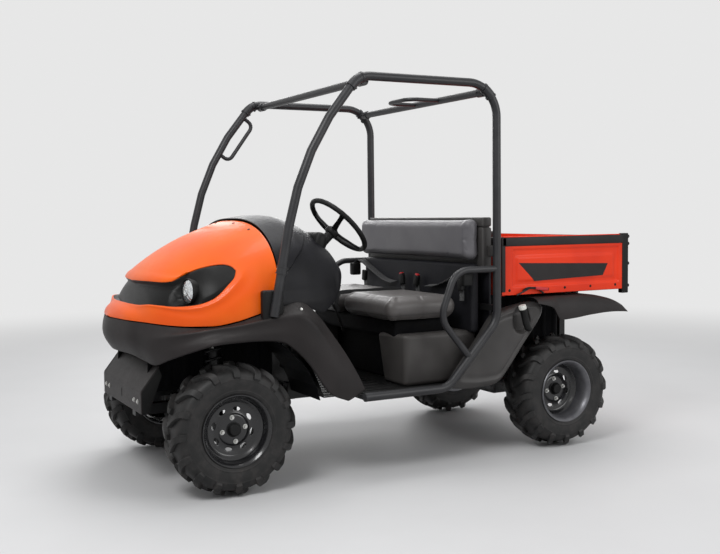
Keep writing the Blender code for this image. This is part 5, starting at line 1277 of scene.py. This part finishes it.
def buildFlares():
    # a flat top and a quarter turn down to the lip, at each share of the length
    f = flareSize
    table = np.array(f["stations"])
    share = np.linspace(0, 1, 90)
    top = f["top"] - through(table[:, 0], table[:, 1], share) * f["depth"]
    lip = f["top"] - through(table[:, 0], table[:, 2], share) * f["depth"]
    y = f["y"] + share * f["length"]
    # across: flat from the bed, then a rolled shoulder down to the lip, with a hem turned in
    inner, shoulder = f["inner"], f["outer"] - f["depth"] * 0.42
    t = np.linspace(0, math.pi / 2, 18)
    x = np.concatenate([np.linspace(inner, shoulder, 12), shoulder + (f["outer"] - shoulder) * np.sin(t[1:]),
                        [f["outer"] - 0.003, f["outer"] - 0.014]])
    fall = np.concatenate([np.zeros(12), 1 - np.cos(t[1:]), [1.0, 0.99]])
    grid = np.stack([x[None] + 0 * y[:, None], y[:, None] + 0 * x[None],
                     top[:, None] + (lip - top)[:, None] * fall[None]], -1)
    grid[:, :, 2] -= 0.004 * (bell(x, inner + 0.06, 0.012) * soft(fall, 0.2, 0.0))[None]
    for side, name in ((1, "left"), (-1, "right")):
        show("flareShell_" + name, [(grid * [side, 1, 1], False, False)], look["charcoal"], "chassis",
             ["flare_" + name], inside=np.array([side * 0.45, 1.0, 0.6]), wall=0.004, edge=0.001,
             sharpDeg=50)


buildQuarters()
buildFlares()
print("rear panels made")


# Cargo bed and tailgate

bedSize = {
    "half": 0.620, "front": 0.512, "rear": 1.343, "floor": 0.864, "bottom": 0.840, "top": 1.150, "wall": 0.026,
    "band": [(0.622, 0.955), (1.236, 0.934), (1.200, 0.869), (0.727, 0.856)], "postRear": 1.385,
    # pressed in: y low, y high, z low, z high, depth, slope
    "panels": [(0.575, 1.318, 0.880, 1.088, 0.008, 0.014), (0.600, 1.290, 0.905, 1.052, -0.006, 0.020)],
    "lever": [(0.630, 0.638, 0.862), (0.637, 0.665, 0.876), (0.638, 0.700, 0.876), (0.638, 0.760, 0.869),
              (0.638, 0.800, 0.866)],
    "rod": [(0.630, 0.600, 0.842), (0.636, 0.640, 0.860), (0.637, 0.690, 0.878), (0.636, 0.735, 0.868),
            (0.630, 0.775, 0.846)],
    "knobsZ": (0.859, 0.983, 1.094, 1.1345), "fastenersY": (0.560, 0.745, 0.930, 1.110, 1.290),
}
gateSize = {"half": 0.584, "front": 1.343, "rear": 1.377, "low": 0.866, "high": 1.138, "press": 0.008}


def pressedPanel(y, z, x, panels):
    # a sheet in the side plane with each panel pressed in: (y low, y high, z low, z high, depth, slope)
    relief = 0 * y
    for yLow, yHigh, zLow, zHigh, deep, slope in panels:
        inside = soft(y, yLow, yLow + slope) * soft(y, yHigh, yHigh - slope)
        inside = inside * soft(z, zLow, zLow + slope) * soft(z, zHigh, zHigh - slope)
        relief = relief + deep * inside
    return np.stack([x - relief, y, z], -1)


def buildBed():
    # each wall is a pressed panel with its back face; floor ribs follow a cosine; rails and posts are rounded blocks
    b = bedSize
    y, z = np.meshgrid(np.linspace(b["front"], b["rear"], 150), np.linspace(b["bottom"] + 0.004, b["top"] - 0.048, 70),
                       indexing="ij")
    outer = pressedPanel(y, z, b["half"], b["panels"])
    inner = outer[:, ::-1] * [0, 1, 1] + [b["half"] - b["wall"], 0, 0]
    side = (np.concatenate([outer, inner], 1), False, True)
    ends = [(np.stack([row, row * [0, 1, 1] + [b["half"] - b["wall"], 0, 0]]), False, False)
            for row in (outer[0], outer[-1])]
    red = bothSides([side] + ends)
    # floor with pressed ribs that run to the rear
    x, y = np.meshgrid(np.linspace(-b["half"] + 0.02, b["half"] - 0.02, 140), np.linspace(b["front"] + 0.01, 1.335, 12),
                       indexing="ij")
    rib = 0.006 * soft(np.cos(x * 2 * math.pi / 0.11), 0.1, 0.8) * soft(y, 0.53, 0.58) * soft(y, 1.32, 1.28)
    floorTop = np.stack([x, y, b["floor"] - 0.006 + rib], -1)
    floorUnder = np.stack([x, y, b["bottom"] + rib * 0.6], -1)
    red.append((np.concatenate([floorTop, floorUnder[:, ::-1]], 1), False, True))
    # front wall
    x, z = np.meshgrid(np.linspace(-b["half"] + 0.002, b["half"] - 0.002, 150),
                       np.linspace(b["bottom"], b["top"] - 0.048, 40), indexing="ij")
    press = 0.007 * sum(soft(x, c - 0.17, c - 0.15) * soft(x, c + 0.17, c + 0.15) for c in (-0.39, 0.0, 0.39))
    press = press * soft(z, 0.885, 0.90) * soft(z, 1.075, 1.06)
    face = np.stack([x, b["front"] + press, z], -1)
    far = np.stack([x, 0 * x + b["front"] + b["wall"] - 0.006 + press, z], -1)
    red.append((np.concatenate([face, far[:, ::-1]], 1), False, True))
    show("bedShell", red, look["bedRed"], "bed", ["cargo_bed"], sharpDeg=45)
    # dark top rail along three sides with a red capping strip
    half, front, rear, wall, bottom, top = (b[key] for key in ("half", "front", "rear", "wall", "bottom", "top"))
    low, high = top - 0.052, top - 0.004
    rails = bothSides([block((half - wall - 0.006, front, low), (half + 0.004, rear, high), 0.006)])
    rails.append(block((-half - 0.004, front - 0.004, low), (half + 0.004, front + wall + 0.004, high), 0.006))
    posts = bothSides([block((half - 0.031, rear - 0.004, bottom - 0.022), (half + 0.003, b["postRear"], top + 0.003),
                             0.005)])
    for z in b["knobsZ"]:
        knob = turned([(0, -0.016), (0.0065, -0.016), (0.0065, -0.002), (0.0105, 0.0), (0.0115, 0.006),
                       (0.0095, 0.0145), (0, 0.0145)], (half - 0.015, b["postRear"], z), (0, 1, 0), 24)
        posts += bothSides([knob])
    rails += bothSides([block((half - 0.008, front - 0.002, bottom + 0.02), (half + 0.003, front + 0.022, low + 0.004),
                              0.003)])
    show("bedRails", rails, look["charcoal"], "bed")
    show("bedPosts", posts, look["black"], "bed")
    strips = bothSides([block((half - 0.020, front + 0.01, high - 0.001), (half + 0.002, rear - 0.02, high + 0.0038),
                              0.0018)])
    show("bedCapping", strips, look["bedRed"], "bed")
    # blank dark band on each side, following the pressed panel
    band = np.array(b["band"])
    edgeLow, edgeHigh = np.linspace(band[3], band[2], 50), np.linspace(band[0], band[1], 50)
    t = np.linspace(0, 1, 14)[None, :, None]
    flat = edgeLow[:, None] * (1 - t) + edgeHigh[:, None] * t
    flat = flat + [0.0, 0.055]
    x = half - 0.0012 * (1 + 0 * flat[..., 0])
    face = np.stack([x, flat[..., 0], flat[..., 1]], -1)
    under = face - [0.006, 0, 0]
    grid = np.concatenate([under[:, :1], face, under[:, -1:]], 1)
    sunk = np.array([half - 0.007, 0, 0])
    grid = np.concatenate([grid[:1] * [0, 1, 1] + sunk, grid, grid[-1:] * [0, 1, 1] + sunk])
    show("bedBands", bothSides([(grid, False, False)]), look["charcoal"], "bed",
         inside=np.array([0, 0.95, 0.98]), sharpDeg=45)
    holes = []
    for y in b["fastenersY"]:
        holes += bothSides([turned([(0, 0.0035), (0.005, 0.003), (0.0075, 0.0), (0.0075, -0.002), (0, -0.002)],
                                   (half, y, 0.868), (1, 0, 0), 20)])
    show("bedFasteners", holes, look["black"], "bed")
    under = bothSides([block((0.220, 0.540, 0.8055), (0.260, 1.228, 0.842), 0.004),
                       turned([(0.0095, -0.007), (0.019, -0.007), (0.019, 0.007), (0.0095, 0.007)],
                              (0.273, 1.300, 0.802), (1, 0, 0), 28, closed=True),
                       block((0.266, 1.283, 0.812), (0.280, 1.317, 0.842), 0.003)])
    show("bedRunners", under, look["frame"], "bed")
    # latch lever on the driver's side
    lever = between(b["lever"], 8)
    wide = through([0, 0.2, 0.6, 1], [0.7, 1.0, 1.0, 1.25], np.linspace(0, 1, len(lever)))
    show("bedLatchLever", [sweep(lever, roundedRect(0.012, 0.013, 0.0035), (1, 0, 0), size=wide)], look["black"], "bed")
    show("bedLatchGrip", [sweep(lever[18:-1], roundedRect(0.017, 0.018, 0.005), (1, 0, 0))], look["red"], "bed")
    show("bedLatchRod", [tube(between(b["rod"], 8), 0.0045, (1, 0, 0), 12)], look["frame"], "bed")


def buildTailgate():
    # two faces with three pressed panels, joined round their edges, with hinge ears turned about the hinge
    half, y0, y1, low, high, deep = (gateSize[key] for key in ("half", "front", "rear", "low", "high", "press"))
    x, z = np.meshgrid(np.linspace(-half, half, 160), np.linspace(low, high, 60), indexing="ij")
    press = deep * sum(soft(x, c - 0.175, c - 0.155) * soft(x, c + 0.175, c + 0.155) for c in (-0.385, 0.0, 0.385))
    press = press * soft(z, low + 0.035, low + 0.050) * soft(z, high - 0.035, high - 0.050)
    back = np.stack([x, y1 - press, z], -1)
    face = np.stack([x, y0 + press * 0.5, z], -1)
    shell = (np.concatenate([back, face[:, ::-1]], 1), False, True)
    ends = [(np.stack([back[k], face[k]]), False, False) for k in (0, -1)]
    ears = bothSides([turned([(0.0065, -0.008), (0.0115, -0.008), (0.0115, 0.008), (0.0065, 0.008)],
                             (0.572, 1.367, 0.853), (1, 0, 0), 24, closed=True),
                      block((0.562, 1.358, 0.858), (0.583, 1.376, 0.880), 0.002)])
    show("tailgatePanel", [shell] + ends + ears, look["bedRed"], "gate", ["tailgate"], sharpDeg=45)
    rail = [block((-half, y0 + 0.001, high - 0.030), (half, y1 - 0.001, high + 0.0005), 0.006)]
    show("tailgateRail", rail, look["charcoal"], "gate")


buildBed()
buildTailgate()
print("bed and tailgate made")


# Running gear

gearSize = {
    "kingLow": (0.410, 0.215), "kingHigh": (0.300, 0.800), "axleY": -0.970, "hubInset": 0.060, "hubGap": 0.008,
    # along the kingpin: from z, to z, radius
    "upright": [(0.258, 0.640, 0.0235), (0.272, 0.338, 0.034)],
    "springSeats": [(0.508, 0.520, 0.046), (0.735, 0.746, 0.044)], "strutRod": (0.640, 0.7925, 0.012),
    "strutSpring": (0.524, 0.733, 0.038, 0.0058, 6.5),
    # along the shock: from share, to share, radius
    "shockLow": (0.335, 0.985, 0.350), "shockHigh": (0.335, 1.045, 0.767),
    "shockBody": [(0.10, 0.62, 0.022), (0.12, 0.145, 0.036), (0.785, 0.80, 0.034), (0.0, 0.14, 0.013)],
    "shockRod": (0.60, 0.995, 0.012), "shockSpring": (0.148, 0.785, 0.0295, 0.0052, 7.5),
}
plateSize = {
    "outline": [(-1.326, 0.368), (-1.326, 0.470), (-1.322, 0.479), (-1.315, 0.487), (-1.240, 0.585)], "half": 0.345,
    "cheek": [(-1.324, 0.370), (-1.324, 0.478), (-1.242, 0.583), (-1.225, 0.540), (-1.264, 0.440), (-1.290, 0.370)],
    "cheekFrom": 0.338, "cheekTo": 0.344, "wall": 0.006, "slot": ((-0.009, -1.3275, 0.402), (0.009, -1.3245, 0.442),
                                                                  0.001),
    "boltsX": (-0.290, -0.230, 0.230, 0.290),
}


def kingpin(z, side):
    # the point of the steering axis at height z, on the straight line between its two ends
    (x0, z0), (x1, z1) = gearSize["kingLow"], gearSize["kingHigh"]
    return np.array([side * (x0 + (z - z0) / (z1 - z0) * (x1 - x0)), gearSize["axleY"], z])


def buildCorners():
    # uprights, rods and dampers are round bars on their own lines, and each spring is a helix about one
    g = gearSize
    for side, name in ((1, "left"), (-1, "right")):
        body = "upright_" + name

        def onKingpin(low, high, radius):
            # a bar along the steering axis, between two heights
            return bar(kingpin(low, side), kingpin(high, side), radius)

        def onAxle(low, high, radius):
            # a bar along the axle, between two distances from the middle
            return bar((side * low, g["axleY"], axleZ), (side * high, g["axleY"], axleZ), radius)

        faceX = trackHalf + rimSize["half"] - g["hubInset"] - g["hubGap"]
        near, far = sorted((side * 0.362, side * 0.390))
        solid = [onKingpin(*row) for row in g["upright"]]
        solid += [onAxle(0.393, faceX, 0.024), onAxle(faceX - 0.022, faceX - 0.0006, 0.064),
                  block((near, -0.975, 0.384), (far, -0.868, 0.398), 0.005)]
        solid += [onKingpin(*row) for row in g["springSeats"]]
        show("upright_arm_" + name, solid, look["frame"], body, ["knuckle_" + name])
        show("strutRod_" + name, [onKingpin(*g["strutRod"])], look["zinc"], body)
        low, high, *wound = g["strutSpring"]
        show("strutSpring_" + name, [coil(kingpin(low, side), kingpin(high, side), *wound)], look["frame"], body)
    for side, name in ((1, "left"), (-1, "right")):
        low, high = np.array(g["shockLow"]) * [side, 1, 1], np.array(g["shockHigh"]) * [side, 1, 1]

        def at(share):
            # the point at this share of the shock's line
            return low + (high - low) * share

        damper = [bar(at(a), at(b), radius) for a, b, radius in g["shockBody"]]
        show("shockBody_" + name, damper, look["frame"], "chassis", ["shock_" + name])
        a, b, radius = g["shockRod"]
        show("shockRod_" + name, [bar(at(a), at(b), radius)], look["zinc"], "chassis")
        a, b, *wound = g["shockSpring"]
        show("shockSpring_" + name, [coil(at(a), at(b), *wound)], look["frame"], "chassis")


def buildFrontPlate():
    # a bent sheet, its outline run straight across; flat cheeks at its ends, and for the slot a thin black inset,
    # painted shade in place of a hole
    p = plateSize
    path = spaced(np.array(p["outline"]), 40)
    x = np.linspace(-p["half"], p["half"], 40)
    outer = np.stack([x[None] + 0 * path[:, :1], path[:, :1] + 0 * x[None], path[:, 1:] + 0 * x[None]], -1)
    show("frontPlateSheet", [(outer, False, False)], look["charcoal"], "chassis", ["front_plate"],
         inside=np.array([0, -1.2, 0.42]), wall=p["wall"], edge=0.0015, sharpDeg=40)
    cheek = np.array(p["cheek"])
    centre = cheek.mean(0)
    rings = []
    for xAt, size in ((p["cheekFrom"], 0.0), (p["cheekFrom"], 1.0), (p["cheekTo"], 1.0), (p["cheekTo"], 0.0)):
        flat = centre + (cheek - centre) * size
        rings.append(np.stack([np.full(len(flat), xAt), flat[:, 0], flat[:, 1]], -1))
    cheeks = bothSides([(np.stack(rings), False, True)])
    show("frontPlateCheeks", cheeks, look["black"], "chassis")
    # painted shade: a black block on the face stands for the slot's dark inside
    show("frontPlateSlot", [block(*p["slot"])], look["black"], "chassis")
    bolts = []
    for x in p["boltsX"]:
        bolts += bolt((x, -1.3262, 0.420), (0, -1, 0), 0.008, 0.007)
    show("frontPlateBolts", bolts, look["zinc"], "chassis", sharpDeg=25)


buildCorners()
buildFrontPlate()
print("running gear made")


# Floor details and belts

cabSize = {
    "pedals": [(0.215, 0.045), (0.330, 0.060), (0.430, 0.040)],         # x, width
    "buckles": [(-0.075, -12), (0.085, 12), (-0.520, 6), (0.520, -6)],  # x, lean in degrees
    "buckleAt": (0.322, 0.905), "reelAt": (0.600, 0.300, 0.940),
}


def buildCabDetails():
    # ribs, pads and buckles are rounded blocks; stems and webbing are flat sections along smooth curves
    ribs = []
    for side in (-1, 1):
        for k in range(7):
            x = side * (0.573 + k * 0.0095)
            ribs.append(block((x - 0.0022, -0.320 + 0.012 * k, 0.4025), (x + 0.0022, 0.165, 0.4065), 0.0018))
    for k in range(17):
        x = -0.52 + k * 0.065
        ribs.append(block((x - 0.006, -0.480, 0.4030), (x + 0.006, -0.075, 0.4065), 0.0022))
    show("floorRibs", ribs, look["black"], "chassis")
    pedals = []
    for x, wide in cabSize["pedals"]:
        pad = block((x - wide / 2, -0.560, 0.500), (x + wide / 2, -0.548, 0.570), 0.005)
        pedals.append(placed(pad, (x, -0.554, 0.535), -28, (1, 0, 0)))
        pedals.append(tube(between([(x, -0.560, 0.530), (x, -0.600, 0.580), (x, -0.625, 0.690)], 6), 0.006, (1, 0, 0),
                           12))
    show("pedals", pedals, look["black"], "chassis")
    lever = [tube(between([(0, -0.098, 0.640), (0, -0.122, 0.700), (0, -0.150, 0.765), (0, -0.172, 0.800)], 6), 0.0065,
                  (1, 0, 0), 14),
             turned([(0, -0.022), (0.010, -0.020), (0.0165, -0.006), (0.0175, 0.006), (0.012, 0.018), (0, 0.022)],
                    (0, -0.178, 0.812), (0, -0.45, 0.89), 32)]
    show("gearLever", lever, look["black"], "chassis")
    bodies, buttons, webs = [], [], []
    y, z = cabSize["buckleAt"]
    for x, lean in cabSize["buckles"]:
        shell = block((x - 0.019, y - 0.012, z - 0.034), (x + 0.019, y + 0.012, z + 0.030), 0.007)
        bodies.append(placed(shell, (x, y, z), lean, (0, 1, 0)))
        if abs(x) < 0.2:
            button = block((x - 0.013, y - 0.009, z + 0.024), (x + 0.013, y + 0.009, z + 0.036), 0.004)
            buttons.append(placed(button, (x, y, z), lean, (0, 1, 0)))
        stem = between([(x, y + 0.004, z - 0.03), (x + 0.002, y + 0.006, z - 0.055), (x + 0.004, y + 0.004, z - 0.085)],
                       5)
        webs.append(sweep(stem, roundedRect(0.003, 0.040, 0.001), (1, 0, 0)))
    for side in (-1, 1):
        at = np.array(cabSize["reelAt"]) * [side, 1, 1]
        bodies.append(block(at - [0.022, 0.030, 0.038], at + [0.022, 0.030, 0.038], 0.010))
        run = between([at + [0, -0.005, 0.03], at + [-side * 0.03, 0.028, 0.055], at + [-side * 0.12, 0.035, 0.020],
                       at + [-side * 0.30, 0.036, -0.045], at + [-side * 0.42, 0.030, -0.060]], 8)
        webs.append(sweep(run, roundedRect(0.003, 0.044, 0.001), (0, 1, 0.2)))
    show("beltBuckles", bodies, look["black"], "chassis")
    show("beltButtons", buttons, look["red"], "chassis")
    show("beltWebbing", webs, look["web"], "chassis")


buildCabDetails()
print("cab details made")


# Better finishes for the frame's own pieces

carried = {
    # the arch liners take the near-black painted shade of the wheel arches
    "chassis_frame": "frame", "arch_liner_left": "shadeBlack", "arch_liner_right": "shadeBlack", "floor_pan": "black",
    "front_diff": "cast", "rear_axle": "cast", "engine": "cast", "muffler": "cast", "lower_arm_left": "frame",
    "lower_arm_right": "frame", "front_shaft_left": "frame", "front_shaft_right": "frame", "steering_rack": "zinc",
}
for node, finish in carried.items():
    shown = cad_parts[node]
    shown.data.materials.clear()
    shown.data.materials.append(look[finish])


# Stage, light and camera

studioSize = {
    "floor": (0.60, 0.60, 0.605), "horizon": (0.80, 0.80, 0.80), "fadeFrom": 3.2, "fadeTo": 9.0,
    "sky": (0.86, 0.87, 0.88), "skyStrength": 0.55,
}
lightSize = {
    # place, what it points at, width and length, watts
    "keyLight": ((2.6, -3.4, 4.6), (0, -0.2, 0.8), (2.0, 1.6), 148),
    "fillLight": ((4.8, 2.6, 2.6), (0, 0.3, 0.8), (3.0, 2.4), 80),
    "topLight": ((-0.6, 0.4, 5.2), (0, 0, 0.6), (2.6, 3.4), 120),
    "backLight": ((-4.6, 1.8, 3.0), (0, 0, 0.9), (3.0, 2.4), 90),
}


def floorMaterial():
    # pale floor that fades, for the camera and for reflections, into the backdrop's own colour
    made = Finish("studioFloor", studioSize["floor"], 0.6)
    fine = made.noise(0.6, 3.0)
    made.set("Base Color", made.blend(fine.rise(0.2, 0.8), tuple(c * 0.97 for c in studioSize["floor"]),
                                      studioSize["floor"]))
    x, y, _ = made.axes()
    far = ((x * x + y * y) ** 0.5).rise(studioSize["fadeFrom"], studioSize["fadeTo"])
    seen = made.node("LightPath").math("MAXIMUM", made.node("LightPath", output=3))
    glow = made.node("Emission", entries={"Color": (*studioSize["horizon"], 1.0), "Strength": 1.0})
    mixed = made.node("MixShader", entries={0: far * seen})
    made.tree.links.new(made.shader.outputs[0], mixed.socket.node.inputs[1])
    made.tree.links.new(glow.socket, mixed.socket.node.inputs[2])
    made.tree.links.new(mixed.socket, made.tree.nodes["Material Output"].inputs["Surface"])
    return made.material


def buildStage():
    # the floor is a disc of rings that widen outward; the world lights softly and shows the camera its horizon
    angle = np.linspace(0, 2 * math.pi, 65)[:-1]
    radius = np.concatenate([[0.0], np.geomspace(1.0, 60.0, 24)])
    points = np.stack([radius[:, None] * np.cos(angle), radius[:, None] * np.sin(angle), 0 * radius[:, None] * angle],
                      -1)
    mesh = meshFrom("studioFloor", [(points, False, True)])
    mesh.materials.append(floorMaterial())
    floor = bpy.data.objects.new("studioFloor", mesh)
    bpy.context.scene.collection.objects.link(floor)
    if mesh.polygons[0].normal.z < 0:
        mesh.flip_normals()
    world = bpy.data.worlds.new("studio")
    world.use_nodes = True
    bpy.context.scene.world = world
    tree = world.node_tree
    back = tree.nodes["Background"]
    back.inputs["Color"].default_value = (*studioSize["sky"], 1.0)
    back.inputs["Strength"].default_value = studioSize["skyStrength"]
    seen = tree.nodes.new("ShaderNodeBackground")
    seen.inputs["Color"].default_value = (*studioSize["horizon"], 1.0)
    seen.inputs["Strength"].default_value = 1.0
    path, mix = tree.nodes.new("ShaderNodeLightPath"), tree.nodes.new("ShaderNodeMixShader")
    either = Signal(tree, path.outputs["Is Camera Ray"]).math("MAXIMUM", Signal(tree, path.outputs["Is Glossy Ray"]))
    tree.links.new(either.socket, mix.inputs[0])
    tree.links.new(back.outputs[0], mix.inputs[1])
    tree.links.new(seen.outputs[0], mix.inputs[2])
    tree.links.new(mix.outputs[0], tree.nodes["World Output"].inputs["Surface"])


def areaLight(name, place, target, size, power):
    # a soft rectangle of light that faces its target
    data = bpy.data.lights.new(name, "AREA")
    data.shape, data.size, data.size_y, data.energy = "RECTANGLE", size[0], size[1], power
    lamp = bpy.data.objects.new(name, data)
    lamp.location = place
    lamp.rotation_euler = (Vector(target) - Vector(place)).to_track_quat("-Z", "Y").to_euler()
    bpy.context.scene.collection.objects.link(lamp)


cameraSize = {
    "place": (4.7282, -2.5425, 1.2738), "yaw": 0.4947, "pitch": 0.0639, "roll": -0.0116, "focal": 977.24, "width": 720,
    "sensor": 36.0,
}


def buildCamera():
    # the view direction from yaw and pitch, then right and up turned about it by the roll
    c = cameraSize
    ahead = Vector((-math.cos(c["yaw"]) * math.cos(c["pitch"]), math.sin(c["yaw"]) * math.cos(c["pitch"]),
                    -math.sin(c["pitch"])))
    right = ahead.cross(Vector((0, 0, 1))).normalized()
    up = right.cross(ahead)
    turn = c["roll"]
    right, up = right * math.cos(turn) + up * math.sin(turn), up * math.cos(turn) - right * math.sin(turn)
    data = bpy.data.cameras.new("photoCamera")
    data.sensor_width, data.lens = c["sensor"], c["focal"] / c["width"] * c["sensor"]
    data.clip_start, data.clip_end = 0.05, 200.0
    camera = bpy.data.objects.new("photoCamera", data)
    camera.matrix_world = Matrix((right, up, -ahead)).transposed().to_4x4()
    camera.location = c["place"]
    bpy.context.scene.collection.objects.link(camera)
    bpy.context.scene.camera = camera


buildStage()
for lightName, lightPlan in lightSize.items():
    areaLight(lightName, *lightPlan)
buildCamera()
bpy.context.scene.view_settings.view_transform = "Standard"
print("stage, lights and camera made")
